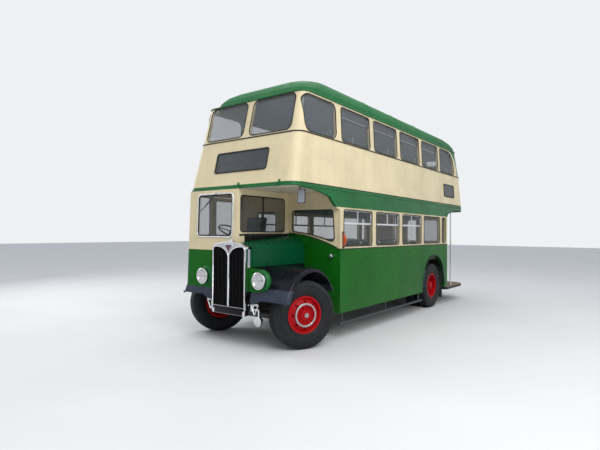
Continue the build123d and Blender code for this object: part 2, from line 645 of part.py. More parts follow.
def wing():
    """A front wing revolved about the arch's centre, with its apron and the valance beside the engine."""
    r, t = ARCH_R, SHEET
    x0, x1 = WING_X
    profile = outline((x0, r), (x1 - 60.0, r), ((x1 - 18.0, r - 18.0), (x1, r - 60.0)), (x1 - t, r - 60.0),
                      ((x1 - 25.0, r - 25.0), (x1 - 60.0, r - t)), (x0, r - t))
    plane = Plane(origin=(0, ARCH_Y, ARCH_Z), x_dir=(1, 0, 0), z_dir=(0, -1, 0))
    hub = Axis((0, ARCH_Y, ARCH_Z), (1, 0, 0))
    arch = revolve(plane * profile, hub, WING_ARC[1] - WING_ARC[0]).rotate(hub, WING_ARC[0] - 90.0)
    foot = ARCH_Y + r * cos(radians(WING_ARC[1]))
    z = ARCH_Z + r * sin(radians(WING_ARC[1]))
    edge = outline((x0, z + 6.0), (x0, 668.0), ((520.0, 690.0), (640.0, 742.0)), (x1 - 60.0, 738.0),
                   ((x1 - 14.0, 726.0), (x1, z - 10.0)), (x1 - 20.0, z + 6.0))
    apron = cross_sheet((foot - 2.0, foot + t), edge)
    valance = block((x0 - t, x0), (ZERO - 645.0, BULKHEAD), (VALANCE_FOOT, VALANCE_TOP))
    return union([arch, apron, valance]) - block((0.0, x0), EVERYWHERE, (0.0, VALANCE_FOOT))


def wing_offside():
    """The same wing under the cab: its crown is kept beside the wheel only, closed by an upright plate."""
    under = CAB_FLOOR - CAB_FLOOR_T
    crown = block((0.0, CAB_ARCH_X), EVERYWHERE, (under, HEIGHT))
    plate = rod("x", ARCH_R, CAB_ARCH_X, CAB_ARCH_X + SHEET, (ARCH_Y, ARCH_Z))
    plate -= block((0.0, WIDTH), EVERYWHERE, (-HEIGHT, under))
    return mirrored(wing() - crown + plate)


# Frame rails: station, underside and top
RAIL_STATIONS = (
    (RADIATOR_Y[1] + 5.0, 560.0, 640.0),
    (RADIATOR_Y[1] + 155.0, 600.0, 770.0),
    (AXLE_F + 480.0, 600.0, 780.0),
    (BULKHEAD, 430.0, 610.0),
    (AXLE_R - 680.0, 430.0, 610.0),
    (AXLE_R - 420.0, 700.0, 860.0),
    (AXLE_R + 380.0, 700.0, 860.0),
    (AXLE_R + 590.0, 430.0, 600.0),
    (PLATFORM_Y - 48.0, 258.0, 338.0),
    (REAR - 260.0, 260.0, 338.0),
)
CROSSMEMBERS = ((RADIATOR_Y[1] + 40.0, 615.0), (BULKHEAD + 640.0, 520.0), (BULKHEAD + 2000.0, 520.0),
                (AXLE_R - 760.0, 520.0), (PLATFORM_Y + 120.0, 299.0), (REAR - 350.0, 299.0))


def radiator_outline(inset=0.0):
    w, (low, corner, crown) = RADIATOR_W - inset, RADIATOR_Z
    return outline((-w + 12.0, low + inset), (w - 12.0, low + inset), (w, corner - 60.0),
                   ((w - 14.0, corner - 14.0 - inset * 0.7), (w - 60.0, corner + 8.0 - inset)),
                   ((0.0, crown - inset), (-w + 60.0, corner + 8.0 - inset)),
                   ((-w + 14.0, corner - 14.0 - inset * 0.7), (-w, corner - 60.0)))


GRILLE_X = 338.0
GRILLE_Z = (560.0, 1525.0)


def radiator_shell():
    """A rounded shell round the grille, with a header that drops to a point in the middle."""
    shell = cross_sheet(RADIATOR_Y, radiator_outline())
    well = outline((-GRILLE_X, GRILLE_Z[0]), (GRILLE_X, GRILLE_Z[0]), (GRILLE_X, GRILLE_Z[1] - 68.0),
                   ((GRILLE_X - 16.0, GRILLE_Z[1] - 16.0), (GRILLE_X - 58.0, GRILLE_Z[1])),
                   ((120.0, GRILLE_Z[1] - 28.0), (0.0, GRILLE_Z[1] - 140.0)),
                   ((-120.0, GRILLE_Z[1] - 28.0), (-GRILLE_X + 58.0, GRILLE_Z[1])),
                   ((-GRILLE_X + 16.0, GRILLE_Z[1] - 16.0), (-GRILLE_X, GRILLE_Z[1] - 68.0)))
    shell -= cross_sheet((RADIATOR_Y[0] - 10.0, RADIATOR_Y[1] + 10.0), well)
    cap = rod("z", 42.0, RADIATOR_Z[2] - 8.0, RADIATOR_Z[2] + 34.0, (0.0, sum(RADIATOR_Y) / 2))
    cross_y, cross_z = CROSSMEMBERS[0]
    seat_z = cross_z + CROSSMEMBER_R + SEATED
    feet = [block((x - 30.0, x + 30.0), (RADIATOR_Y[1], cross_y + 10.0), (seat_z, seat_z + 14.0))
            for x in (-RADIATOR_W + 30.0, RADIATOR_W - 30.0)]
    cheek = block((GRILLE_X + 5.0, BONNET_X[1] - 4.0), (RADIATOR_Y[1] - 12.0, RADIATOR_Y[1]),
                  (VALANCE_TOP + 3.0, 1490.0))
    return union([shell, cap, cheek] + feet)


def radiator_grille():
    """Upright slats between two rails, in front of a core, with a strip down the middle."""
    y = (RADIATOR_Y[0] + 12.0, RADIATOR_Y[0] + 34.0)
    core = block((-GRILLE_X, GRILLE_X), (y[1], RADIATOR_Y[1] - 5.0), GRILLE_Z)
    pitch = 2 * GRILLE_X / SLATS
    middles = [-GRILLE_X + (k + 0.5) * pitch for k in range(SLATS)]
    slats = [block((x - SLAT_W / 2, x + SLAT_W / 2), y, GRILLE_Z) for x in middles]
    strip = block((-11.0, 11.0), (RADIATOR_Y[0] + 4.0, y[1]), GRILLE_Z)
    body = union([core, strip] + slats)
    return body & (cross_sheet(RADIATOR_Y, radiator_outline()) - radiator_shell())


# Chassis and running gear

def rail_face(inset=0.0):
    low = [(y, a + inset) for y, a, b in RAIL_STATIONS]
    high = [(y, b - inset) for y, a, b in reversed(RAIL_STATIONS)]
    return make_face(Polyline(*low, *high, close=True))


def chassis_frame():
    """Two channel rails, cranked over the axles, and the tubes between them."""
    x = (RAIL_X - RAIL_W / 2, RAIL_X + RAIL_W / 2)
    rail = side_sheet(x, rail_face()) - side_sheet((x[0] - 5.0, x[1] - RAIL_T), rail_face(RAIL_T))
    tubes = [rod("x", CROSSMEMBER_R, -x[1] + RAIL_T, x[1] - RAIL_T, at) for at in CROSSMEMBERS]
    hangers = []
    for y, z in REAR_HANGERS:
        hangers.append(block((x[1], REAR_SPRING_X + 28.0), (y - 35.0, y + 35.0), (z + SPRING_LEAF, z + 60.0)))
    for y, low, high in FRONT_HANGERS:
        hangers.append(block((RAIL_X - 30.0, RAIL_X + 30.0), (y - 35.0, y + 35.0), (low, high)))
    half = union([rail] + hangers)
    return union([half, mirrored(half)] + tubes)


BEAM_TOP = 452.0
FRONT_LEAVES = 6
FRONT_SPRING_HALF = 460.0
FRONT_SPRING_TOP = BEAM_TOP + FRONT_LEAVES * SPRING_LEAF
FRONT_HANGERS = ((AXLE_F - FRONT_SPRING_HALF + 30.0, FRONT_SPRING_TOP, 610.0),
                 (AXLE_F + FRONT_SPRING_HALF - 30.0, FRONT_SPRING_TOP, 600.0))
REAR_SPRING_X = 500.0
REAR_LEAVES = 5
REAR_SPRING_HALF = 590.0
REAR_SEAT = TYRE_R + AXLE_TUBE_R
REAR_HANGERS = ((AXLE_R - REAR_SPRING_HALF + 40.0, REAR_SEAT), (AXLE_R + REAR_SPRING_HALF - 40.0, REAR_SEAT))


def leaf_springs():
    """Leaf packs: the longest leaf is hung from the frame."""
    packs = []
    for side in (-1, 1):
        front, rear = [], []
        for k in range(FRONT_LEAVES):
            half, z = FRONT_SPRING_HALF - k * 62.0, FRONT_SPRING_TOP - k * SPRING_LEAF
            front.append(block((side * RAIL_X - 35.0, side * RAIL_X + 35.0), (AXLE_F - half, AXLE_F + half),
                               (z - SPRING_LEAF, z)))
        for k in range(REAR_LEAVES):
            half, z = REAR_SPRING_HALF - k * 90.0, REAR_SEAT + k * SPRING_LEAF
            rear.append(block((side * REAR_SPRING_X - 28.0, side * REAR_SPRING_X + 28.0),
                              (AXLE_R - half, AXLE_R + half), (z, z + SPRING_LEAF)))
        packs += [union(front), union(rear)]
    return packs


BOSS_R = 46.0
BOSS_Z = (455.0, 575.0)


def front_axle():
    """A dropped beam with an eye for the kingpin at each end."""
    half = outline((0.0, BEAM_TOP - 95.0), (560.0, BEAM_TOP - 95.0), (700.0, 465.0), (KINGPIN_X, 465.0),
                   (KINGPIN_X, 565.0), (680.0, 560.0), (530.0, BEAM_TOP), (0.0, BEAM_TOP))
    beam = cross_sheet((AXLE_F - 40.0, AXLE_F + 40.0), half)
    eye = rod("z", BOSS_R, *BOSS_Z, (KINGPIN_X, AXLE_F))
    bore = rod("z", PIN_R + RUN, BOSS_Z[0] - 10.0, BOSS_Z[1] + 10.0, (KINGPIN_X, AXLE_F))
    arm = beam + eye - bore
    return arm + mirrored(arm)


LUG_T = 40.0
LUG_GAP = 5.0
YOKE_X = (52.0, 78.0)
STUB_R = 38.0
BACKPLATE_X = (YOKE_X[1], YOKE_X[1] + 10.0)
HUB_END = 272.0


def knuckle_straight():
    """A knuckle with its wheels straight ahead, its kingpin at the origin of x and y."""
    low = (BOSS_Z[0] - LUG_GAP - LUG_T, BOSS_Z[0] - LUG_GAP)
    high = (BOSS_Z[1] + LUG_GAP, BOSS_Z[1] + LUG_GAP + LUG_T)
    pin = rod("z", PIN_R, low[0], high[1], (0.0, 0.0))
    lugs = [rod("z", BOSS_R, *z, (0.0, 0.0)) + block((0.0, YOKE_X[1]), (-BOSS_R, BOSS_R), z)
            for z in (low, high)]
    yoke = block(YOKE_X, (-BOSS_R, BOSS_R), (low[0], high[1]))
    stub = rod("x", STUB_R, YOKE_X[0], HUB_END - 20.0, (0.0, TYRE_R))
    backplate = rod("x", 196.0, *BACKPLATE_X, (0.0, TYRE_R))
    arm_z = (low[0], low[0] + 24.0)
    arm = block((-16.0, 16.0), (0.0, ARM), arm_z) + rod("z", 22.0, *arm_z, (0.0, ARM))
    ball = rod("z", 11.0, ROD_Z - 18.0, low[0], (0.0, ARM))
    return union([pin, *lugs, yoke, stub, backplate, arm, ball])


def steered(shape, side):
    """A piece made about the kingpin, turned to the rest angle and put at its end of the axle."""
    shape = mirrored(shape) if side < 0 else shape
    return Pos(side * KINGPIN_X, AXLE_F, 0) * (Rot(0, 0, -STEER_REST) * shape)


def track_rod():
    """The rod between the two steering arms, with an eye at each end."""
    turn = radians(-STEER_REST)
    ends = [(side * KINGPIN_X - ARM * sin(turn), AXLE_F + ARM * cos(turn)) for side in (-1, 1)]
    bar = rod("x", 15.0, ends[0][0], ends[1][0], (ends[0][1], ROD_Z))
    eyes = [rod("z", 25.0, ROD_Z - 18.0, ROD_Z + 18.0, end) for end in ends]
    pins = [rod("z", 11.0 + RUN, ROD_Z - 30.0, ROD_Z + 30.0, end) for end in ends]
    body = union([bar] + eyes)
    for pin in pins:
        body -= pin
    return body


def ring_profile(points):
    """A profile in (x, radius) revolved about the wheel's own axle, along x at hub height."""
    plane = Plane(origin=(0, 0, TYRE_R), x_dir=(1, 0, 0), z_dir=(0, -1, 0))
    return revolve(plane * outline(*points), Axis((0, 0, TYRE_R), (1, 0, 0)), 360)


def tyre(centre):
    """A tyre with a flat tread, round shoulders and bulged walls."""
    w, r = TYRE_W / 2, TYRE_R
    c = centre
    return ring_profile(((c - 89.7, RIM_R), (c - 89.7, RIM_R + 17.0), (c - 104.0, RIM_R + 40.0),
                         ((c - w, 390.0), (c - 104.0, r - 22.0)), ((c - 96.0, r - 6.0), (c - 84.0, r)),
                         (c + 84.0, r), ((c + 96.0, r - 6.0), (c + 104.0, r - 22.0)),
                         ((c + w, 390.0), (c + 104.0, RIM_R + 40.0)), (c + 89.7, RIM_R + 17.0),
                         (c + 89.7, RIM_R)))


def hand_holes(x):
    """The round holes in a ring through the front disc, between the nuts and the rim."""
    turns = [2 * pi * k / HAND_HOLES for k in range(HAND_HOLES)]
    return [rod("x", HAND_HOLE_R, *x, (HAND_RING_R * sin(t), TYRE_R + HAND_RING_R * cos(t))) for t in turns]


def wheel_front():
    """A disc wheel with its hub and drum, made about the kingpin: the disc stands out."""
    c, bore = HUB_OFFSET, STUB_R + RUN
    drum_x = BACKPLATE_X[1] + 3.0
    wheel = ring_profile(((drum_x, 190.0), (drum_x, 206.0), (c - 20.0, 210.0), (c - 60.0, RIM_IN - 8.0),
                          (c - 95.0, RIM_IN - 4.0), (c - 95.0, FLANGE_R), (c - 90.0, FLANGE_R),
                          (c - 90.0, BEAD_R), (c + 90.0, BEAD_R), (c + 90.0, FLANGE_R), (c + 95.0, FLANGE_R),
                          (c + 95.0, RIM_IN), (c + 64.0, RIM_IN - 12.0), (c + 94.0, 186.0), (c + 96.0, 179.0),
                          (c + 126.0, 177.0), (c + 126.0, 143.0), (c + 104.0, 141.0), (c + 104.0, 88.0),
                          (c + 126.0, 84.0), (c + 134.0, 50.0), (c + 148.0, 46.0), (c + 150.0, 0.0),
                          (HUB_END - 16.0, 0.0), (HUB_END - 16.0, bore), (drum_x + 40.0, bore),
                          (drum_x + 40.0, 190.0)))
    for hole in hand_holes((c + 20.0, c + 140.0)):
        wheel -= hole
    return wheel


def wheel_rear():
    """Twin disc wheels back to back on one hub, about the axle line: the outer disc stands in."""
    a, b = TWIN_X
    mid = (a + b) / 2
    bore = AXLE_TUBE_R + RUN
    rim = [(a - 95.0, FLANGE_R), (a - 90.0, FLANGE_R), (a - 90.0, BEAD_R), (a + 90.0, BEAD_R),
           (a + 90.0, FLANGE_R), (a + 95.0, FLANGE_R), (a + 95.0, RIM_IN - 2.0), (a - 30.0, RIM_IN - 14.0),
           (mid + 30.0, 200.0), (mid + 16.0, 160.0)]
    hub = [(mid + 16.0, 100.0), (a + 20.0, 92.0), (a + 64.0, 84.0), (a + 76.0, 60.0), (a + 76.0, 0.0),
           (a + 40.0, 0.0), (a + 40.0, bore), (b - 60.0, bore), (b - 60.0, 190.0), (b - 110.0, 190.0),
           (b - 110.0, 206.0), (b - 30.0, 208.0), (mid - 30.0, 210.0)]
    inner = [(b + 30.0, RIM_IN - 14.0), (b - 95.0, RIM_IN - 2.0), (b - 95.0, FLANGE_R), (b - 90.0, FLANGE_R),
             (b - 90.0, BEAD_R), (b + 90.0, BEAD_R), (b + 90.0, FLANGE_R), (b + 95.0, FLANGE_R),
             (b + 95.0, RIM_IN)]
    return ring_profile(rim + hub + inner + [(a - 95.0, RIM_IN)])


def rear_axle():
    """The axle's tubes and its worm casing, which hangs low on the offside."""
    tube = rod("x", AXLE_TUBE_R, -TWIN_X[0] - 30.0, TWIN_X[0] + 30.0, (AXLE_R, TYRE_R))
    casing = rod("x", 150.0, -350.0, -110.0, (AXLE_R, 450.0))
    nose = rod("y", 62.0, AXLE_R - 260.0, AXLE_R, (-230.0, 400.0))
    return tube + casing + nose


PROP_Z = 400.0
PROP_X = -230.0
GEARBOX_Y = (AXLE_F + 520.0, AXLE_F + 1150.0)


def engine():
    """The engine and gearbox as one plain mass, on the feet that carry it."""
    mass = block((-250.0, 330.0), (AXLE_F - 500.0, AXLE_F + 520.0), (545.0, 1085.0))
    sump = block((-170.0, 190.0), (AXLE_F + 60.0, AXLE_F + 520.0), (430.0, 545.0))
    box = block((-330.0, 170.0), GEARBOX_Y, (330.0, 600.0))
    feet = [block((-RAIL_X + RAIL_W / 2, RAIL_X - RAIL_W / 2), (y - 40.0, y + 40.0), (602.0, 660.0))
            for y in (AXLE_F - 380.0, AXLE_F + 360.0)]
    return union([mass, sump, box] + feet)


def propshaft():
    return rod("y", 42.0, GEARBOX_Y[1], AXLE_R - 260.0, (PROP_X, PROP_Z))


def fuel_tank():
    body = block((-1050.0, -510.0), (BULKHEAD + 1700.0, BULKHEAD + 2600.0), (330.0, 590.0))
    tank = fillet(body.edges().filter_by(Axis.Y), 45.0)
    straps = [block((-1054.0, -468.0), (y - 25.0, y + 25.0), (590.0, 606.0))
              for y in (BULKHEAD + 1900.0, BULKHEAD + 2400.0)]
    return union([tank] + straps)


def exhaust():
    """A pipe from the engine's side to a silencer and a short tail under the nearside."""
    x, z = 300.0, 420.0
    silencer = rod("y", 85.0, BULKHEAD + 900.0, BULKHEAD + 1700.0, (x, z))
    pipe = rod("y", 28.0, AXLE_F + 440.0, AXLE_R - 820.0, (x, z))
    down = rod("z", 28.0, z - 28.0, 545.0, (x, AXLE_F + 468.0))
    straps = [block((x - 12.0, x + 12.0), (y - 20.0, y + 20.0), (z + 80.0, SALOON_FLOOR - FLOOR_T))
              for y in (BULKHEAD + 1100.0, BULKHEAD + 1500.0)]
    return union([silencer, pipe, down] + straps)


# Seats, controls, glass and fittings

def seat(x, y, floor):
    """A bench of two seats on two legs: cushion and sloping back in one outline."""
    def point(a, b):
        return (y + a, floor + b)
    face = outline(point(-230.0, CUSHION[0]), point(-235.0, CUSHION[1] - 15.0), point(-215.0, CUSHION[1]),
                   point(165.0, CUSHION[1] - 20.0), point(215.0, BACK_TOP - 30.0), point(240.0, BACK_TOP),
                   point(SEAT_REAR, BACK_TOP - 30.0), point(225.0, CUSHION[0]))
    foot = outline(point(-90.0, 0.0), point(-50.0, 0.0), point(40.0, CUSHION[0] + 5.0),
                   point(-60.0, CUSHION[0] + 5.0))
    feet = [side_sheet(span, foot) for span in ((x[0] + LEG_IN, x[0] + LEG_IN + LEG_W),
                                                (x[1] - LEG_IN - LEG_W, x[1] - LEG_IN))]
    return union([side_sheet(x, face)] + feet)


SEAT_NEAR = (HALF - WALL - 15.0 - SEAT_W, HALF - WALL - 15.0)
SEAT_UP = (HALF - SIDE_LEAN - WALL - 8.0 - SEAT_W, HALF - SIDE_LEAN - WALL - 8.0)


def seat_rows(first, end):
    """The stations of the rows between the first one and an end, a pitch apart."""
    count = int((end - SEAT_REAR - first) // SEAT_PITCH) + 1
    return [first + k * SEAT_PITCH for k in range(count)]


def seats_lower(side):
    """Rows of two across the saloon, then a bench for three along the wheel box."""
    first = BULKHEAD + 560.0
    rows = [seat(SEAT_NEAR, y, SALOON_FLOOR) for y in seat_rows(first, WHEEL_BOX_Y[0])]
    bench_y = (WHEEL_BOX_Y[0] + 10.0, WHEEL_BOX_Y[1] - 10.0)
    wall = HALF - WALL - 12.0
    bench = block((wall - 450.0, wall), bench_y, (WHEEL_BOX_Z, WHEEL_BOX_Z + 95.0))
    back = block((wall - 80.0, wall), bench_y, (WHEEL_BOX_Z + 95.0, WHEEL_BOX_Z + 370.0))
    shapes = rows + [bench + back]
    return shapes if side > 0 else [mirrored(s) for s in shapes]


def seats_upper(side):
    """Rows of two: the offside rows stop at the stairwell."""
    end = REAR - REAR_LEAN - REAR_RADIUS if side > 0 else STAIRWELL_Y[0]
    shapes = [seat(SEAT_UP, y, UPPER_FLOOR) for y in seat_rows(ZERO + 330.0, end)]
    return shapes if side > 0 else [mirrored(s) for s in shapes]


def driver_seat():
    x = (-880.0, -430.0)
    y = ZERO + 370.0
    back = side_sheet(x, outline((y + 160.0, 1560.0), (y + 205.0, 2030.0), (y + 260.0, 2030.0),
                                 (y + 225.0, 1440.0)))
    cushion = block(x, (y - 230.0, y + 222.0), (1440.0, 1560.0))
    foot = block((-720.0, -590.0), (y - 90.0, y + 90.0), (CAB_FLOOR, 1440.0))
    return union([back, cushion, foot])


def steering_wheel():
    """A wheel on a raked column, on the cab's floor."""
    place = Pos(-655.0, ZERO - 60.0, 1760.0) * Rot(-28, 0, 0)
    rim = place * Torus(225.0, 13.0)
    spokes = [place * Rot(0, 0, 45 + 90 * k) * Pos(112.0, 0, 0) * Box(225.0, 24.0, 10.0) for k in range(4)]
    column = place * Pos(0, 0, -400.0) * Cylinder(24.0, 820.0)
    whole = union([rim, column] + spokes)
    return whole - block((-WIDTH, WIDTH), EVERYWHERE, (0.0, CAB_FLOOR))


PANE_IN = WALL / 2 - GLASS_T / 2
PANE_OUT = WALL / 2 + GLASS_T / 2


def glass_upper():
    skin = upper_solid(PANE_IN) - upper_solid(PANE_OUT, 5.0)
    panes = []
    for opening in upper_windows_side():
        panes += [skin & opening, skin & mirrored(opening)]
    panes += [skin & opening for opening in upper_windows_front()]
    return panes


def glass_lower():
    x = (HALF - PANE_OUT, HALF - PANE_IN)
    panes = []
    for bay in BAY_WINDOWS + [PLATFORM_WINDOW]:
        pane = side_window(bay, WINDOW_LOW, x, 45.0)
        panes += [pane, mirrored(pane)]
    y = (BULKHEAD + PANE_IN, BULKHEAD + PANE_OUT)
    panes += [near_bulkhead_pane(y), end_window(*CAB_REAR_PANE, y)]
    panes.append(end_window(REAR_BULKHEAD_PANE, WINDOW_LOW, (PLATFORM_Y - 23.0, PLATFORM_Y - 17.0)))
    panes.append(end_window(REAR_PANE, WINDOW_LOW, (REAR - PANE_OUT, REAR - PANE_IN), 90.0))
    return panes


def glass_cab():
    mid = CAB_WALL / 2
    skin = cab_solid(mid - GLASS_T / 2) - cab_solid(mid + GLASS_T / 2, 5.0)
    front = skin & end_window(WINDSCREEN_X, WINDSCREEN_Z, (CAB_FRONT_LOW - 50.0, CAB_FRONT_LOW + 180.0), 50.0)
    x = (CAB_INNER_X - mid - GLASS_T / 2, CAB_INNER_X - mid + GLASS_T / 2)
    near = side_window(*CAB_NEAR_PANE, x, 50.0)
    quarter = side_window(CAB_QUARTER, (WINDSCREEN_Z[0] + 20.0, WINDSCREEN_Z[1]),
                          (-HALF + mid - GLASS_T / 2, -HALF + mid + GLASS_T / 2), 45.0)
    return [front, near, quarter]


LAMP_X, LAMP_Z = 613.0, 1035.0
LAMP_FRONT = ZERO - FRONT_REACH
LAMP_R = 122.0


def lamp(x, z, front, radius, back):
    """A lamp that points forward: a domed lens in a rim, then a bowl that ends flat at its seat."""
    plane = Plane(origin=(x, 0, z), x_dir=(0, 1, 0), z_dir=(1, 0, 0))
    rim = front + radius * 0.16
    bowl = ((rim + (back - rim) * 0.6, radius * 0.92), (back, radius * 0.7))
    face = outline((front, 0.0), ((front + radius * 0.045, radius * 0.5), (rim, radius * 0.9)), (rim, radius),
                   (rim + radius * 0.2, radius), bowl, (back, 0.0))
    return revolve(plane * face, Axis((x, 0, z), (0, 1, 0)), 360)


VALANCE_Y = (ZERO - 660.0, ZERO - 632.0)


def headlamps():
    """The offside lamp sits on the cab's front, the nearside one on the front valance."""
    off = lamp(-LAMP_X, LAMP_Z, LAMP_FRONT, LAMP_R, cab_front_y(LAMP_Z + LAMP_R))
    off -= cab_solid()
    return [lamp(LAMP_X, LAMP_Z, LAMP_FRONT, LAMP_R, VALANCE_Y[0]), off]


def front_valance():
    """The panel beside the radiator that carries the nearside lamp, rounded to the lamp."""
    pad = LAMP_R + 40.0
    face = outline((WING_X[0], 840.0), (WING_X[0] + 90.0, 840.0), (LAMP_X, LAMP_Z - pad),
                   ((LAMP_X + pad, LAMP_Z), (LAMP_X, LAMP_Z + pad)), (WING_X[0], VALANCE_TOP - 4.0))
    inner = block((RADIATOR_W + 1.0, WING_X[0]), VALANCE_Y, (840.0, VALANCE_TOP - 4.0))
    return cross_sheet(VALANCE_Y, face) + inner - rod("x", ARCH_R, 0.0, WIDTH, (ARCH_Y, ARCH_Z)) - wing()


SIDE_LAMP_R = 30.0


def small_lamps():
    """Side lamps, the low fog lamp and the two tail lamps."""
    z = 1365.0
    near = lamp(998.0, z, BULKHEAD - 70.0, 38.0, BULKHEAD)
    y = ZERO - 560.0
    off = lamp(-HALF - SIDE_LAMP_R, z, y, SIDE_LAMP_R, y + 75.0)
    fog_y, fog_x, fog_z = ZERO - 700.0, 560.0, 430.0
    fog = lamp(fog_x, fog_z, fog_y, 72.0, fog_y + 90.0)
    stem = rod("z", 12.0, fog_z, 600.0, (fog_x, fog_y + 40.0))
    arm = block((RAIL_X + RAIL_W / 2, fog_x + 12.0), (fog_y + 28.0, fog_y + 80.0), (588.0, 606.0))
    tails = [rod("y", 40.0, REAR, REAR + REAR_FITTINGS, (x, 1000.0)) for x in (-640.0, CORNER_X - 80.0)]
    return [near, off, fog + stem + arm] + tails


def lifeguards():
    """A low rail along each side between the wheels, on hangers from the floor."""
    y = (BULKHEAD + 40.0, REAR_ARCH_Y - REAR_ARCH_R + 20.0)
    sides = []
    for side in (-1, 1):
        x = sorted((side * 1085.0, side * 1115.0))
        rail = block(x, y, (232.0, 276.0))
        across = sorted((side * 1060.0, side * 1085.0))
        hangers = [block(across, (k - 20.0, k + 20.0), (232.0, SALOON_FLOOR - FLOOR_T))
                   for k in (y[0] + 120.0, (y[0] + y[1]) / 2, y[1] - 120.0)]
        sides.append(union([rail] + hangers))
    return sides


def handrails():
    """The pole at the platform's edge and the rail up the stairs."""
    pole = rod("z", 17.0, PLATFORM_Z, CANOPY, (HALF - 75.0, PLATFORM_Y + 470.0))
    post = rod("z", 17.0, PLATFORM_Z, CANOPY, (-SALOON_DOOR_X + 20.0, PLATFORM_Y + 60.0))
    return [pole, post]


def mirrors():
    """The driver's mirrors: one on the cab's corner, one under the canopy on the nearside."""
    near = block((960.0, 1100.0), (ZERO - 262.0, ZERO - 246.0), (CANOPY - 240.0, CANOPY - 35.0))
    near_arm = rod("z", 8.0, CANOPY - 35.0, CANOPY, (1000.0, ZERO - 254.0))
    off_y = ZERO - 505.0
    off = block((-SIDE_REACH, -HALF - 12.0), (off_y - 8.0, off_y + 8.0), (CANOPY - 530.0, CANOPY - 310.0))
    off_arm = rod("x", 8.0, -HALF - 12.0, -HALF, (off_y, CANOPY - 330.0))
    return [near + near_arm, off + off_arm]


def indicators():
    """The ear at each front corner pillar."""
    ears = []
    for side in (-1, 1):
        x = sorted((side * HALF, side * SIDE_REACH))
        y = BULKHEAD + 90.0
        ear = block(x, (y - 22.0, y + 22.0), (1505.0, 1760.0))
        ears.append(fillet(ear.edges().filter_by(Axis.Y), 25.0))
    return ears


front, near, off, rear = upper_panels()
save("upper_front", front)
save("upper_side_nearside", near)
save("upper_side_offside", off)
rear, exit_door = emergency_door(rear)
save("upper_rear", rear)
save("roof", roof())
save("emergency_door", exit_door)
save("lower_side_nearside", lower_side(1))
save("lower_side_offside", lower_side(-1))
save("lower_rear", lower_rear())
save("front_bulkhead", front_bulkhead())
save("rear_bulkhead", rear_bulkhead())
save("saloon_floor", saloon_floor())
save("platform", platform())
save("upper_floor", upper_floor())
save("staircase", staircase())
save("cab_front", cab_front())
side, door = cab_door(cab_side_offside())
save("cab_side_offside", side)
save("cab_door", door)
partition, bonnet = bonnet_lid(cab_partition())
save("cab_partition", partition)
save("bonnet_lid", bonnet)
save("front_wing_nearside", wing())
save("front_wing_offside", wing_offside())
save("front_valance", front_valance())
save("radiator_shell", radiator_shell())
save("radiator_grille", radiator_grille())
save("chassis_frame", chassis_frame())
save("front_axle", front_axle())
save("rear_axle", rear_axle())
save("leaf_springs", *leaf_springs())
save("engine", engine())
save("propshaft", propshaft())
save("fuel_tank", fuel_tank())
save("exhaust", exhaust())
save("seats_lower_nearside", *seats_lower(1))
save("seats_lower_offside", *seats_lower(-1))
save("seats_upper_nearside", *seats_upper(1))
save("seats_upper_offside", *seats_upper(-1))
save("driver_seat", driver_seat())
save("steering_wheel", steering_wheel())
save("glass_upper", *glass_upper())
save("glass_lower", *glass_lower())
save("glass_cab", *glass_cab())
save("headlamps", *headlamps())
save("small_lamps", *small_lamps())
save("lifeguards", *lifeguards())
save("handrails", *handrails())
save("mirrors", *mirrors())
save("ear_indicators", *indicators())
save("track_rod", track_rod())
front_wheel = wheel_front()
for side, name in ((1, "left"), (-1, "right")):
    save(f"knuckle_{name}", steered(knuckle_straight(), side))
    save(f"tyre_front_{name}", steered(tyre(HUB_OFFSET), side))
    save(f"wheel_front_{name}", steered(front_wheel, side))
rear_wheel = Pos(0, AXLE_R, 0) * wheel_rear()
rear_tyres = [Pos(0, AXLE_R, 0) * tyre(x) for x in TWIN_X]
save("wheel_rear_left", rear_wheel)
save("wheel_rear_right", mirrored(rear_wheel))
save("tyres_rear_left", *rear_tyres)
save("tyres_rear_right", *[mirrored(t) for t in rear_tyres])
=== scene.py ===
import json
from cmath import phase, rect
from functools import partial
from math import copysign, cos, pi, radians, sin, sqrt

import bmesh
import bpy
from mathutils import Matrix, Vector


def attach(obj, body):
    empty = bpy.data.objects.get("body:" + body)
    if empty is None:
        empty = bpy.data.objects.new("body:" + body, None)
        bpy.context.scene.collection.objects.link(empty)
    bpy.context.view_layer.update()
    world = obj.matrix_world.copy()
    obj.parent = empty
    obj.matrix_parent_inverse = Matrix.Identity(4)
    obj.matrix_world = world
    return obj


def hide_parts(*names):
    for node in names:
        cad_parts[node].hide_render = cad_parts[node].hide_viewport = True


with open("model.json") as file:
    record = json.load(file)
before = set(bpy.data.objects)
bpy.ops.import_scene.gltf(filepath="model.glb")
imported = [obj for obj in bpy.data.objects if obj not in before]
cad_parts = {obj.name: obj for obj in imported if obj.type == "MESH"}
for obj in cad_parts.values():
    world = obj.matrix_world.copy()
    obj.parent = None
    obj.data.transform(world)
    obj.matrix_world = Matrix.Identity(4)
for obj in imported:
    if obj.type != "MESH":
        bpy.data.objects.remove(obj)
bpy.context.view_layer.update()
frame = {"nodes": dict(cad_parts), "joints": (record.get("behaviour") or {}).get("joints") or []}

# Driving sizes in metres, in the frame of the whole bus: +X nearside, +Y rear, +Z up
LENGTH, HALF, HEIGHT = 7.925, 1.143, 4.34
ZERO = -LENGTH / 2 + 0.762
REAR = LENGTH / 2 - 0.02
BULKHEAD = ZERO + 0.656
PLATFORM = ZERO + 5.7
REAR_AXLE = 1.6775
CANOPY, UPPER_FLOOR, WAIST, GUTTER = 2.43, 2.49, 3.245, 3.905
SIDE_LEAN, FRONT_LEAN, REAR_LEAN_WAIST, REAR_LEAN = 0.08, 0.355, 0.095, 0.33
FRONT_RADIUS, REAR_RADIUS = 0.15, 0.43
TYRE_R, RIM_R = 0.515, 0.268
SIDE_REACH = 1.203

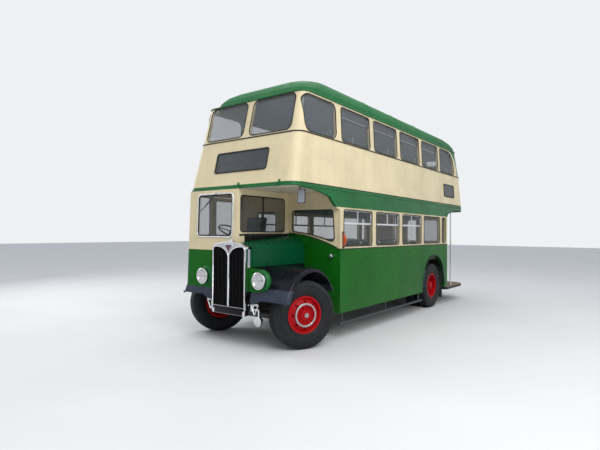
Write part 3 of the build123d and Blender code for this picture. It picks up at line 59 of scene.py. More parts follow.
# Heights where the colours change. The bulkhead's line falls with the square of the distance from the middle
LOW_WAIST, BAND_FOOT, BAND_TOP = 1.478, 2.165, 2.49
BULKHEAD_LINE, BULKHEAD_SAG = 1.73, 0.2
SKIRT_LINE, REAR_EDGE = 0.75, 2.345

# Windows: pillars a bay apart, and what they leave
BAY, PILLAR_W = 1.143, 0.165
PILLARS = [BULKHEAD + 0.024 + BAY * k for k in range(5)]
BAYS = [(a + PILLAR_W / 2, b - PILLAR_W / 2) for a, b in zip(PILLARS, PILLARS[1:])]
PLATFORM_WINDOW = (PILLARS[-1] + PILLAR_W / 2, PLATFORM - 0.13)
FRONT_QUARTER = (ZERO - 0.255, PILLARS[0] - PILLAR_W / 2)
REAR_QUARTER = (PILLARS[-1] + PILLAR_W / 2, REAR - 0.83)
LOW_GLASS, HIGH_GLASS = (1.525, 2.135), (3.28, 3.855)
FRONT_PANE_X, FRONT_PANE_Z = (0.065, 0.925), (3.29, 3.88)
WINDSCREEN_X, WINDSCREEN_Z = (-0.86, -0.035), (1.67, 2.365)
CORNER_X = 0.48
REAR_PANE = (-0.56, CORNER_X - 0.12)
SWEEP_RADIUS = 0.43
SWEEP_FROM, SWEEP_REACH = (REAR_QUARTER[1] - SWEEP_RADIUS, WAIST + 0.01), (0.68, 0.65)

# Colours, linear
CREAM = (0.78, 0.66, 0.42)
GREEN = (0.018, 0.14, 0.042)
DEEP_GREEN = (0.006, 0.122, 0.007)
BONNET_GREEN = (0.002, 0.082, 0.028)
WING_BLACK = (0.008, 0.009, 0.013)
# Painted reflection: the grey-blue of the road seen in the lower fronts of the glossy black wings
ROAD_REFLECTION_GREY = (0.04, 0.05, 0.072)
RED = (0.4, 0.003, 0.006)
STAIN = (0.4, 0.29, 0.15)
DUST = (0.16, 0.14, 0.11)
BLACK = (0.01, 0.01, 0.011)
CEILING = (0.62, 0.58, 0.48)
FLOORING = (0.1, 0.07, 0.05)
UNDERSIDE = (0.02, 0.02, 0.02)


# Shaders. Every finish is kept in M by its name
M = {}


def shade(colour, share):
    return tuple(share * c for c in colour)


def feed(value, socket):
    """Gives a socket a number, a colour, a vector or another node's output."""
    if isinstance(value, tuple):
        socket.default_value = (*value, 1.0)[:len(socket.default_value)]
    elif isinstance(value, (int, float)):
        socket.default_value = value
    else:
        socket.id_data.links.new(value, socket)


def feed_all(node, values):
    for key, value in values.items():
        feed(value, node.inputs[key.replace("_", " ")])
    return node


def add(tree, kind, **values):
    """A new node with some of its sockets fed, their names written with underscores."""
    return feed_all(tree.nodes.new("ShaderNode" + kind), values)


def new_material(name, **values):
    material = M[name] = bpy.data.materials.new(name)
    material.use_nodes = True
    feed_all(material.node_tree.nodes["Principled BSDF"], values)
    return material.node_tree


def place_of(tree):
    return add(tree, "TexCoord").outputs["Object"]


def axes(source):
    """The X, Y and Z of a vector."""
    return add(source.id_data, "SeparateXYZ", Vector=source).outputs


def noise(tree, scale, detail=4.0, stretch=None):
    """Noise in the bus's own coordinates, or stretched along an axis."""
    source = place_of(tree)
    if stretch:
        source = add(tree, "Mapping", Vector=source, Scale=stretch).outputs["Vector"]
    return add(tree, "TexNoise", Vector=source, Scale=scale, Detail=detail).outputs["Fac"]


def spread(source, low, high, start=0.3, end=0.7):
    """A value that goes from low to high as its source goes from start to end."""
    ends = {"From_Min": start, "From_Max": end, "To_Min": low, "To_Max": high}
    return add(source.id_data, "MapRange", Value=source, **ends).outputs["Result"]


def maths(kind, a, b):
    """Arithmetic on an output and either another output or a number."""
    node = add(a.id_data, "Math")
    node.operation = kind
    feed(a, node.inputs[0])
    feed(b, node.inputs[1])
    return node.outputs[0]


def mix(factor, a, b):
    """One colour mixed into another. The node's seventh and eighth sockets are its colours."""
    node = add(factor.id_data, "Mix")
    node.data_type = "RGBA"
    for place, value in ((0, factor), (6, a), (7, b)):
        feed(value, node.inputs[place])
    return node.outputs[2]


def facing_below(tree, limit):
    """1 where the surface's normal has a Z under a limit."""
    return maths("LESS_THAN", axes(add(tree, "NewGeometry").outputs["Normal"])["Z"], limit)


def surface(tree, colour, *layers, **values):
    """Feeds a material's shader its colour, and bump layers, each (height, distance in metres, strength)."""
    last = None
    for height, distance, strength in layers:
        node = add(tree, "Bump", Height=height, Distance=distance, Strength=strength)
        if last:
            feed(last, node.inputs["Normal"])
        last = node.outputs["Normal"]
    feed_all(tree.nodes["Principled BSDF"], {"Base Color": colour, "Normal": last, **values})


def height_of(tree, sag=0.0):
    """The height of a point, plus sag times its distance from the middle, squared."""
    place = axes(place_of(tree))
    if not sag:
        return place["Z"]
    return maths("ADD", place["Z"], maths("MULTIPLY", maths("MULTIPLY", place["X"], place["X"]), sag))


def zoned(tree, stops, sag=0.0):
    """Colours that change at given heights: each stop is (height in metres, colour)."""
    ramp = add(tree, "ValToRGB", Fac=maths("DIVIDE", height_of(tree, sag), HEIGHT))
    ramp.color_ramp.interpolation = "CONSTANT"
    marks = ramp.color_ramp.elements
    while len(marks) < len(stops):
        marks.new(1.0)
    for mark, (z, colour) in zip(marks, stops):
        mark.position = z / HEIGHT
        mark.color = (*colour, 1.0)
    return ramp.outputs["Color"]


def swept(tree):
    """1 above the waist and outside the big curve round the upper deck's last side window."""
    place = axes(place_of(tree))
    along = maths("MAXIMUM", maths("SUBTRACT", place["Y"], SWEEP_FROM[0]), 0.0)
    up = maths("SUBTRACT", place["Z"], SWEEP_FROM[1])
    squares = [maths("POWER", maths("DIVIDE", way, reach), 2.0) for way, reach in zip((along, up), SWEEP_REACH)]
    outside = maths("GREATER_THAN", maths("ADD", *squares), 1.0)
    return maths("MULTIPLY", outside, maths("GREATER_THAN", up, 0.0))


def paint(name, base, *stops, sag=0.0, lined=False, fade=0.1, dust=0.07, sweep=False, rough=0.3, stain=0.0):
    """Brush-painted coachwork: a colour, then each (height, colour) from there up. Lined: pale from below."""
    tree = new_material(name, Roughness=rough, Specular_IOR_Level=0.12)
    colour = zoned(tree, [(0.0, base), *stops], sag) if stops else base
    if sweep:
        colour = mix(swept(tree), colour, GREEN)
    patches = spread(noise(tree, 1.6, 2.0), 1.0 - fade, 1.0 + fade * 0.4)
    streaks = spread(noise(tree, 1.0, 3.0, stretch=(9.0, 9.0, 0.8)), 1.0 - fade * 0.6, 1.0)
    faded = add(tree, "HueSaturation", Color=colour, Value=maths("MULTIPLY", patches, streaks))
    low = spread(height_of(tree), dust, 0.0, 0.35, 0.95)
    low = maths("MULTIPLY", low, spread(noise(tree, 6.0, 2.0), 0.2, 1.0))
    colour = mix(low, faded.outputs["Color"], DUST)
    if stain:
        runs = spread(noise(tree, 1.3, 3.0), 0.0, stain, 0.5, 0.72)
        runs = maths("MULTIPLY", runs, spread(noise(tree, 7.0, 3.0), 0.0, 1.0, 0.4, 0.62))
        colour = mix(runs, colour, STAIN)
    if lined:
        colour = mix(facing_below(tree, -0.08), colour, CEILING)
    surface(tree, colour, (noise(tree, 1.8, 2.0), 0.005, 0.2),
            Roughness=spread(noise(tree, 9.0, 2.0), rough - 0.06, rough + 0.1))


def metal(name, colour, rough, tarnish=0.12):
    tree = new_material(name, Roughness=rough, Metallic=1.0)
    patches = spread(noise(tree, 30.0, 6.0), 0.0, tarnish)
    surface(tree, mix(patches, colour, shade(colour, 0.35)), (noise(tree, 180.0, 3.0), 0.0006, 0.1),
            Roughness=spread(noise(tree, 60.0, 5.0), rough * 0.7, rough * 1.8))


def grubby(name, colour, rough, dirt=(0.1, 0.085, 0.065), depth=0.001, spec=0.4, grain=60.0):
    """Plain painted or cast iron, rubber or plastic, with dirt in its patches."""
    tree = new_material(name, Roughness=rough, Specular_IOR_Level=spec)
    patches = spread(noise(tree, 9.0, 8.0), 0.0, 0.55, 0.42, 0.72)
    surface(tree, mix(patches, colour, dirt), (noise(tree, grain, 5.0), depth, 0.35),
            Roughness=spread(noise(tree, 25.0, 5.0), rough * 0.8, min(rough * 1.3, 1.0)))


def clear_glass(name, tint_and_painted_sky, alpha):
    """Glass: mostly see-through, with a few smears. On the windows its pale blue-grey colour is a painted
    reflection of the sky.
    """
    tree = new_material(name, Roughness=0.03, Specular_IOR_Level=0.9, Alpha=alpha)
    smears = spread(noise(tree, 3.0, 4.0), 0.0, 0.4)
    surface(tree, mix(smears, tint_and_painted_sky, shade(tint_and_painted_sky, 1.5)), (noise(tree, 1.2, 0.0), 0.003, 0.08),
            Roughness=spread(noise(tree, 5.0, 1.0), 0.02, 0.05))


def cloth(name, dark, light):
    """Moquette: a short pile with a small two-colour check."""
    tree = new_material(name, Roughness=0.9, Sheen_Weight=0.35)
    check = add(tree, "TexChecker", Vector=place_of(tree), Color1=dark, Color2=light, Scale=55.0)
    worn = spread(noise(tree, 8.0, 5.0), 0.0, 0.35)
    surface(tree, mix(worn, check.outputs["Color"], shade(dark, 0.6)),
            (noise(tree, 900.0, 2.0), 0.0012, 0.5))


def leather(name, colour):
    tree = new_material(name, Roughness=0.45)
    cells = add(tree, "TexVoronoi", Vector=place_of(tree), Scale=260.0).outputs["Distance"]
    worn = spread(noise(tree, 7.0, 5.0), 0.0, 0.5)
    surface(tree, mix(worn, colour, shade(colour, 2.2)), (cells, 0.0006, 0.4))


def slatted(name, colour, gap, pitch=0.045):
    """Floor slats along the bus with a dark line between them. What faces sideways or down is dark."""
    tree = new_material(name, Roughness=0.65)
    wave = add(tree, "TexWave", Vector=place_of(tree), Scale=1.0 / pitch / 3.14)
    wave.bands_direction = "X"
    wave.wave_profile = "SAW"
    groove = maths("GREATER_THAN", wave.outputs["Fac"], 0.88)
    grain = spread(noise(tree, 30.0, 6.0, stretch=(6.0, 0.4, 6.0)), 0.0, 0.6)
    slats = mix(groove, mix(grain, colour, shade(colour, 0.5)), gap)
    surface(tree, mix(facing_below(tree, 0.5), slats, UNDERSIDE), (groove, 0.002, -0.5),
            (noise(tree, 90.0, 4.0), 0.0006, 0.3))


paint("lower", DEEP_GREEN, (LOW_WAIST, CREAM), (BAND_FOOT, GREEN), fade=0.18)
paint("upper", GREEN, (BAND_TOP, CREAM), lined=True, sweep=True, stain=0.3)
paint("front", GREEN, (CANOPY + 0.05, CREAM), lined=True)
paint("rear", GREEN, (BAND_TOP, CREAM), lined=True, sweep=True)
paint("bulkhead", DEEP_GREEN, (BULKHEAD_LINE, CREAM), sag=BULKHEAD_SAG)
paint("cab", DEEP_GREEN, (1.455, CREAM))
paint("cab_inner", BLACK, (1.72, CREAM))
paint("saloon_end", DEEP_GREEN, (LOW_WAIST, CREAM))
paint("roof", GREEN, lined=True, fade=0.16, rough=0.52)
paint("green", GREEN)
paint("bonnet", BONNET_GREEN)
# The wings are glossy black. Below 0.9 m their grey-blue is a painted reflection of the road.
paint("wing", ROAD_REFLECTION_GREY, (0.9, WING_BLACK), fade=0.05, dust=0.02, rough=0.22)
paint("red", RED, fade=0.15, dust=0.02, rough=0.36)
paint("floor_top", CEILING, (UPPER_FLOOR - 0.02, FLOORING), fade=0.2)
paint("stairs", CREAM, fade=0.2)
slatted("slats", (0.2, 0.13, 0.07), (0.02, 0.015, 0.01))
metal("chrome", (0.82, 0.82, 0.84), 0.08)
metal("alloy", (0.7, 0.71, 0.72), 0.25)
metal("dull", (0.4, 0.4, 0.41), 0.34)
metal("steel", (0.42, 0.4, 0.37), 0.35, tarnish=0.5)
# The lower deck's vent bars are metal. Their light grey colour is a painted reflection of the bright sky on
# them.
grubby("bars", (0.62, 0.63, 0.64), 0.35, (0.42, 0.42, 0.42), 0.0002)
grubby("rail", (0.03, 0.035, 0.042), 0.45, (0.045, 0.045, 0.045), 0.0005)
grubby("glazing", (0.3, 0.32, 0.37), 0.12, (0.24, 0.26, 0.3), 0.0002)
grubby("orange", (0.5, 0.072, 0.01), 0.32, (0.4, 0.06, 0.01), 0.0003)
grubby("iron", (0.055, 0.055, 0.055), 0.55)
grubby("chassis", (0.018, 0.018, 0.019), 0.5)
grubby("black", BLACK, 0.25, (0.03, 0.03, 0.03), 0.0003)
grubby("rubber", (0.012, 0.012, 0.012), 0.6, (0.04, 0.04, 0.035), 0.0004)
grubby("tyre", (0.008, 0.009, 0.011), 0.6, (0.024, 0.023, 0.023), 0.0007, 0.28, 220.0)
grubby("blind", (0.035, 0.04, 0.048), 0.35, (0.06, 0.065, 0.07), 0.0003)
grubby("enamel", (0.13, 0.055, 0.095), 0.25, (0.16, 0.1, 0.13), 0.0002)
grubby("grille", (0.002, 0.002, 0.003), 0.4, (0.006, 0.006, 0.006), 0.0004, 0.15)
grubby("plate", (0.004, 0.004, 0.005), 0.35, (0.012, 0.012, 0.012), 0.0002, 0.2)
# Window glass: the blue-grey colours are painted sky reflection, paler on the upper deck than on the lower deck
# and cab
clear_glass("glass", (0.15, 0.178, 0.208), 0.26)
clear_glass("glass_low", (0.06, 0.074, 0.088), 0.22)
clear_glass("lens", (0.22, 0.23, 0.24), 0.12)
clear_glass("ruby", (0.45, 0.01, 0.01), 0.94)
clear_glass("bulb", (0.85, 0.85, 0.8), 0.9)
cloth("moquette", (0.05, 0.1, 0.06), (0.16, 0.2, 0.1))
leather("hide", (0.03, 0.028, 0.026))

# Finish of the carried-over nodes
NODE_FINISH = {
    "lower": "lower_side_nearside lower_side_offside lower_rear",
    "upper": "upper_side_nearside upper_side_offside",
    "front": "upper_front",
    "rear": "upper_rear emergency_door",
    "bulkhead": "front_bulkhead",
    "cab": "cab_front cab_side_offside cab_door front_valance",
    "cab_inner": "cab_partition",
    "saloon_end": "rear_bulkhead",
    "roof": "roof",
    "bonnet": "bonnet_lid",
    "wing": "front_wing_nearside front_wing_offside",
    "floor_top": "upper_floor",
    "stairs": "staircase",
    "slats": "saloon_floor platform",
    "red": "wheel_front_left wheel_front_right wheel_rear_left wheel_rear_right",
    "chrome": "radiator_shell headlamps small_lamps handrails",
    "black": "steering_wheel mirrors",
    "grille": "radiator_grille",
    "chassis": "chassis_frame leaf_springs propshaft fuel_tank track_rod",
    "rail": "lifeguards",
    "iron": "front_axle rear_axle engine knuckle_left knuckle_right",
    "steel": "exhaust",
    "glass": "glass_upper",
    "glass_low": "glass_lower glass_cab",
    "orange": "ear_indicators",
    "hide": "driver_seat",
    "moquette": "seats_lower_nearside seats_lower_offside seats_upper_nearside seats_upper_offside",
    "tyre": "tyre_front_left tyre_front_right tyres_rear_left tyres_rear_right",
}


def wear(thing, finish):
    """Gives a node or a piece its one finish."""
    thing.data.materials.clear()
    thing.data.materials.append(M[finish])


def smooth(mesh):
    """Shades a mesh smooth, with its real edges kept sharp."""
    mesh.shade_smooth()
    mesh.set_sharp_from_angle(angle=radians(32))


for finish, names in NODE_FINISH.items():
    for name in names.split():
        wear(frame["nodes"][name], finish)
        smooth(frame["nodes"][name].data)


# Pieces. Slot and finish of what repeats
DARK, GASKET, BRIGHT = ("black_paint", "rubber"), ("tyre_rubber", "rubber"), ("chrome", "chrome")
move = Matrix.Translation


def new_object(name, data):
    made = bpy.data.objects.new(name, data)
    bpy.context.scene.collection.objects.link(made)
    return made


def dress(piece, finish, body):
    wear(piece, finish)
    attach(piece, body)
    return piece


def from_bmesh(name, bm, slot, finish, body="bus"):
    mesh = bpy.data.meshes.new(name)
    bmesh.ops.recalc_face_normals(bm, faces=bm.faces)
    bm.to_mesh(mesh)
    bm.free()
    smooth(mesh)
    return dress(new_object(name, mesh), finish, body)


def built(name, maker, rows, slot, finish, body="bus"):
    """A piece made by one of the makers below, called once for each row."""
    bm = bmesh.new()
    for row in rows:
        maker(bm, *row)
    return from_bmesh(name, bm, slot, finish, body)


def rounded_box(bm, low, high, edge=0.004, place=Matrix()):
    """Adds a box with softened edges to a mesh, moved by a matrix."""
    size, centre = Vector(high) - Vector(low), (Vector(high) + Vector(low)) / 2
    place = place @ move(centre) @ Matrix.Diagonal((*size, 1.0))
    made = bmesh.ops.create_cube(bm, size=1.0, matrix=place)
    edges = list(dict.fromkeys(e for v in made["verts"] for e in v.link_edges))
    bmesh.ops.bevel(bm, geom=edges, offset=min(edge, min(size) * 0.45), segments=2, affect="EDGES", profile=0.5)


def lathe(bm, profile, place, segments=48, arc=2 * pi):
    """Revolves (along, radius) points about the x axis of a matrix. Points on the axis close the form."""
    whole = abs(arc - 2 * pi) < 1e-6
    count = segments if whole else segments + 1
    turns = [arc * k / segments for k in range(count)]
    rings = []
    for a, r in profile:
        if r < 1e-6:
            rings.append([bm.verts.new(place @ Vector((a, 0.0, 0.0)))] * count)
        else:
            rings.append([bm.verts.new(place @ Vector((a, r * sin(t), r * cos(t)))) for t in turns])
    for near, far in zip(rings, rings[1:]):
        for k in range(segments):
            n = (k + 1) % count
            corners = list(dict.fromkeys((near[k], near[n], far[n], far[k])))
            if len(corners) > 2:
                bm.faces.new(corners)


def plate(bm, points, offset):
    """Adds a thin plate: a loop of points and the same loop moved by an offset."""
    near = [bm.verts.new(p) for p in points]
    far = [bm.verts.new(Vector(p) + Vector(offset)) for p in points]
    bm.faces.new(near)
    bm.faces.new(far[::-1])
    for k in range(len(points)):
        n = (k + 1) % len(points)
        bm.faces.new((near[k], near[n], far[n], far[k]))


def tubes(name, paths, radius, slot, finish, body="bus", closed=True):
    """Round beads or bars along lists of points, as one piece."""
    curve = bpy.data.curves.new(name, "CURVE")
    curve.dimensions = "3D"
    curve.bevel_depth = radius
    curve.bevel_resolution = 2
    curve.use_fill_caps = True
    for path in paths:
        spline = curve.splines.new("POLY")
        spline.points.add(len(path) - 1)
        for point, at in zip(spline.points, path):
            point.co = (*at, 1.0)
        spline.use_cyclic_u = closed
    return dress(new_object(name, curve), finish, body)


bars = partial(tubes, closed=False)


def soft_edges(piece, width, segments=2):
    bevel = piece.modifiers.new("soft_edges", "BEVEL")
    bevel.width = width
    bevel.segments = segments
    bevel.limit_method = "ANGLE"
    return piece


def facing(x, y, z, way=-1):
    """A matrix whose x axis points ahead of the bus, or behind it."""
    return move((x, y, z)) @ Matrix(((0, -way, 0), (way, 0, 0), (0, 0, 1))).to_4x4()


# Points and lines

def span(side, a, b):
    """Two distances from the middle of the bus as x on one side, the lower first."""
    return sorted((side * a, side * b))


def widened(bounds, margin):
    return bounds[0] - margin, bounds[1] + margin


def quarter_turn(ca, cb, radius, start, steps):
    turns = [radians(start + 90.0 * k / steps) for k in range(steps + 1)]
    return [(ca + radius * cos(t), cb + radius * sin(t)) for t in turns]


def rounded_loop(a, b, radius, steps=6):
    """Points round a rectangle with round corners, from the corner where both coordinates are largest."""
    (a0, a1), (b0, b1) = widened(a, -radius), widened(b, -radius)
    corners = ((a1, b1), (a0, b1), (a0, b0), (a1, b0))
    return [p for k, corner in enumerate(corners) for p in quarter_turn(*corner, radius, 90 * k, steps)]


def bend(a, b, c, steps=8):
    """Points on a curve that passes through three."""
    points = []
    for k in range(steps + 1):
        t = k / steps
        shares = ((1 - t) * (1 - 2 * t), 4 * t * (1 - t), t * (2 * t - 1))
        points.append(tuple(sum(w * p for w, p in zip(shares, at)) for at in zip(a, b, c)))
    return points


def arc_through(a, b, c, steps=16):
    """Points on the circle through three points, from the first to the last."""
    a, b, c = complex(*a), complex(*b), complex(*c)
    w = (c - a) / (b - a)
    centre = a + (b - a) * (w - abs(w) ** 2) / (2j * w.imag)
    sweep = phase((c - centre) / (a - centre))
    points = [centre + (a - centre) * rect(1.0, sweep * k / steps) for k in range(steps + 1)]
    return [(p.real, p.imag) for p in points]


def mirrored(points):
    """The same points with x turned round, from the last to the first."""
    return [(-x, *rest) for x, *rest in points[::-1]]


# Walls of the bus

def between(low, high, z, z_low, z_high):
    return low + (high - low) * (z - z_low) / (z_high - z_low)


def side_x(z):
    return between(HALF, HALF - SIDE_LEAN, z, CANOPY, GUTTER) if z > CANOPY else HALF


def front_y(z):
    return between(ZERO - 0.6, ZERO - 0.6 + FRONT_LEAN, z, CANOPY, GUTTER)


def rear_y(z):
    if z < CANOPY:
        return REAR
    if z < WAIST:
        return between(REAR, REAR - REAR_LEAN_WAIST, z, CANOPY, WAIST)
    return between(REAR - REAR_LEAN_WAIST, REAR - REAR_LEAN, z, WAIST, GUTTER)


def cab_y(z):
    return between(ZERO - 0.662, ZERO - 0.612, z, 0.85, CANOPY)


def wall_x(y, z):
    """How far out the side wall stands, also where it turns into the front or the rear."""
    front, rear = front_y(z) + FRONT_RADIUS, rear_y(z) - REAR_RADIUS
    radius, past = (FRONT_RADIUS, front - y) if y < front and z > CANOPY else (REAR_RADIUS, y - rear)
    turn = radius - sqrt(max(radius ** 2 - max(past, 0.0) ** 2, 0.0))
    return side_x(z) - turn


def on_side(points, side, out=0.0):
    return [(side * (wall_x(y, z) + out), y, z) for y, z in points]


def on_end(points, wall, out=0.0):
    """Points (x, z) on the wall whose y is a function of the height, moved to the rear."""
    return [(x, wall(z) + out, z) for x, z in points]


def girth(z, out):
    """A line right round the upper deck at one height."""
    w, f, r = side_x(z) + out, front_y(z) - out, rear_y(z) + out
    rf, rr = FRONT_RADIUS + out, REAR_RADIUS + out
    corners = ((w - rf, f + rf, rf, -90), (w - rr, r - rr, rr, 0), (-w + rr, r - rr, rr, 90),
               (-w + rf, f + rf, rf, 180))
    return [(x, y, z) for corner in corners for x, y in quarter_turn(*corner, 10)]


# Camera at the photograph's viewpoint
CAMERA_AT = Vector((5.1085, -5.6585 + ZERO, 1.7564))
YAW, PITCH, ROLL = -0.6493, 0.0156, 0.0074
FOCAL_PX, PHOTO_W = 454.261, 600.0


def make_camera():
    ahead = Vector((sin(YAW) * cos(PITCH), cos(YAW) * cos(PITCH), sin(PITCH)))
    across = ahead.cross(Vector((0, 0, 1))).normalized()
    up = across.cross(ahead)
    right = across * cos(ROLL) + up * sin(ROLL)
    up = -across * sin(ROLL) + up * cos(ROLL)
    data = bpy.data.cameras.new("photo_camera")
    data.sensor_width = 36.0
    data.lens = FOCAL_PX / PHOTO_W * data.sensor_width
    data.clip_end = 200.0
    camera = new_object("photo_camera", data)
    turn = Matrix((right, up, -ahead)).transposed()
    camera.matrix_world = move(CAMERA_AT) @ turn.to_4x4()
    bpy.context.scene.camera = camera


make_camera()


# Window rubbers, beads and ventilators
RUBBER, BAR_INSET = 0.009, 0.024


def rear_quarter_loop():
    """Round the upper deck's last side window, whose top rear corner is one big curve in place of 7 points."""
    end, top = REAR_QUARTER[1], HIGH_GLASS[1]
    plain = rounded_loop(REAR_QUARTER, HIGH_GLASS, 0.06)
    curve = arc_through((end, top - 0.4), (end - 0.0903, top - 0.144), (end - SWEEP_RADIUS, top))
    return curve + plain[7:]


def window_trim():
    """A rubber round each window of the two decks."""
    low, high = [], []
    for side in (-1, 1):
        low += [on_side(rounded_loop(bay, LOW_GLASS, 0.045), side, 0.001) for bay in BAYS + [PLATFORM_WINDOW]]
        loops = [rounded_loop(bay, HIGH_GLASS, 0.06) for bay in BAYS]
        loops += [rounded_loop(FRONT_QUARTER, HIGH_GLASS, 0.12, 8), rear_quarter_loop()]
        high += [on_side(loop, side, 0.001) for loop in loops]
    for side in (1, -1):
        high.append(on_end(rounded_loop(span(side, *FRONT_PANE_X), FRONT_PANE_Z, 0.095, 8), front_y, -0.001))
    low.append(on_end(rounded_loop(REAR_PANE, LOW_GLASS, 0.09), rear_y, 0.001))
    tubes("window_rubbers_lower", low, RUBBER, *GASKET)
    tubes("window_rubbers_upper", high, RUBBER, *GASKET)


def ventilators():
    """Sliding top lights: a bar across and a frame above it. The lower deck's have an upright in the middle."""
    # The lower deck's bars take the light grey finish, a painted reflection in place of bare metal; the upper
    # deck's are dull metal
    for deck, finish, bays, (z0, z1), share, half in (("lower", "bars", BAYS[:3], LOW_GLASS, 0.37, 0.016),
                                                      ("upper", "dull", BAYS, HIGH_GLASS, 0.3, 0.008)):
        bar, rows = z1 - share * (z1 - z0), []
        for side, (y0, y1) in [(side, bay) for side in (-1, 1) for bay in bays]:
            middle = (y0 + y1) / 2
            parts = [((y0, y1), (bar - half, bar + half)), ((y0 + 0.004, y1 - 0.004), (z1 - 0.02, z1 - 0.004)),
                     ((y0 + 0.004, y0 + 0.018), (bar, z1 - 0.01)), ((y1 - 0.018, y1 - 0.004), (bar, z1 - 0.01))]
            if deck == "lower":
                parts.append(((middle - 0.008, middle + 0.008), (bar, z1 - 0.01)))
            for y, z in parts:
                out = side_x(sum(z) / 2) - BAR_INSET
                rows.append((*zip(span(side, out - 0.01, out + 0.012), y, z), 0.002))
        built(f"ventilator_bars_{deck}", rounded_box, rows, "chrome", finish)


def beads():
    """Dark line under the upper windows, gutter, and the lines between the colours and the panels."""
    tubes("upper_waist_bead", [girth(WAIST + 0.01, 0.002)], 0.011, *DARK)
    tubes("gutter", [girth(GUTTER - 0.004, 0.006)], 0.013, "green_paint", "green")
    tubes("canopy_bead", [girth(CANOPY + 0.012, 0.001)], 0.009, "green_paint", "green")
    dark, thin, seams = [], [], []
    for side in (-1, 1):
        end = REAR - REAR_RADIUS if side < 0 else PLATFORM - 0.004
        wall, upper = side * (HALF + 0.001), side * side_x(BAND_TOP)
        dark.append([(wall, y, LOW_WAIST + 0.006) for y in (BULKHEAD + 0.01, end)])
        thin.append([(side * HALF, y, BAND_FOOT) for y in (BULKHEAD + 0.005, end)])
        thin.append([(side * HALF, y, SKIRT_LINE) for y in (BULKHEAD + 0.005, 0.93)])
        dark.append([(upper, y, BAND_TOP) for y in (ZERO - 0.42, REAR - REAR_RADIUS)])
        seams += [[(side * (HALF - 0.001), y, z) for z in (0.44, LOW_WAIST)] for y in PILLARS[:4]]
        seams += [[(side * (side_x(z) - 0.001), y, z) for z in (CANOPY + 0.02, WAIST)] for y in PILLARS]
    across = [0.09 + 1.05 * k / 12 for k in range(13)]
    dark.append([(x, BULKHEAD - 0.001, BULKHEAD_LINE - BULKHEAD_SAG * x ** 2) for x in across])
    edge = bend((0.0, 2.165), (0.03, 2.222), (0.13, 2.262))
    edge += bend((0.13, 2.262), (0.52, 2.32), (0.98, REAR_EDGE))[1:]
    edge = [(HALF + 0.001, PLATFORM + y, z) for y, z in edge]
    corner = quarter_turn(HALF - REAR_RADIUS, REAR - REAR_RADIUS + 0.001, REAR_RADIUS, 0, 12)[1:]
    dark.append(edge + [(x, y, REAR_EDGE) for x, y in corner + [(CORNER_X, REAR + 0.001)]])
    bars("lower_waist_bead", dark, 0.007, *DARK)
    bars("colour_line_beads", thin, 0.0045, "green_paint", "lower")
    bars("panel_seams", seams, 0.0035, "green_paint", "upper")


window_trim()
ventilators()
beads()


# Wheels and tyres
JOINTS = {j["name"]: j for j in frame["joints"]}
GROOVES = (-0.058, -0.02, 0.02, 0.058)
GROOVE = ((-0.0055, 0.0), (-0.004, 0.01), (0.004, 0.01), (0.0055, 0.0))
TREAD_STEPS = 192
TWIN_OFFSET = 0.147
TYRE_WALL = [(0.0897, RIM_R), (0.0897, RIM_R + 0.017), (0.101, RIM_R + 0.034), (0.107, RIM_R + 0.04),
             (0.1085, RIM_R + 0.052), (0.113, 0.324), (0.114, 0.332), (0.1175, 0.345), (0.1235, 0.378),
             (0.1248, 0.4), (0.124, 0.42), (0.1195, 0.425), (0.1195, 0.431), (0.1235, 0.436),
             (0.1225, 0.446), (0.1175, 0.462), (0.112, 0.48), (0.107, 0.49)]
HUB_RING = [(0.1, 0.15), (0.1265, 0.1505), (0.13, 0.155), (0.131, 0.165), (0.1295, 0.175),
            (0.1265, 0.1795), (0.1, 0.18)]
HUB_CAP = [(0.1505, 0.036), (0.1535, 0.034), (0.1545, 0.028), (0.1515, 0.026), (0.1515, 0.018),
           (0.1545, 0.016), (0.156, 0.0)]
NUT_R = 0.016
NUT = [(0.0, 0.0), (0.0, NUT_R), (0.016, NUT_R), (0.02, NUT_R * 0.8), (0.02, NUT_R * 0.5),
       (0.032, NUT_R * 0.45), (0.034, 0.0)]


def wheel_place(joint, side, along=0.0):
    """A matrix whose x axis points out of the bus along a wheel's axle, at the wheel's centre."""
    out = Vector(JOINTS[joint]["axis"]) * side
    up = Vector((0, 0, 1))
    turn = Matrix((out, up.cross(out), up)).transposed().to_4x4()
    return move(Vector(JOINTS[joint]["pos_m"]) + out * along) @ turn


def tyre_mesh(bm, place):
    """A ribbed bus tyre: zigzag grooves round the tread, notched shoulders and rings on the walls."""
    r, rings = TYRE_R, []
    for k in range(TREAD_STEPS):
        turn = 2 * pi * k / TREAD_STEPS
        zig = 0.005 * (1, 0, -1, 0)[k % 4]
        notch = 0.007 if k % 4 < 2 else 0.0
        shoulder = [(0.095, r - 0.004 - notch * 0.6), (0.1045 - notch * 0.4, r - 0.014 - notch)]
        crown = mirrored(shoulder)
        for g in GROOVES:
            crown += [(g + zig + across, r - depth) for across, depth in GROOVE]
        profile = mirrored(TYRE_WALL[::-1]) + crown + shoulder + TYRE_WALL[::-1]
        rings.append([bm.verts.new(place @ Vector((a, b * sin(turn), b * cos(turn)))) for a, b in profile])
    for k, ring in enumerate(rings):
        after = rings[(k + 1) % TREAD_STEPS]
        for n in range(len(ring)):
            m = (n + 1) % len(ring)
            bm.faces.new((ring[n], ring[m], after[m], after[n]))


def nut_rows(place, count, radius, along):
    """Rows for the lathe: six-sided nuts with their studs on a circle about a wheel's axle."""
    turns = [2 * pi * (k + 0.5) / count for k in range(count)]
    return [(NUT, place @ move((along, radius * sin(t), radius * cos(t))), 6) for t in turns]


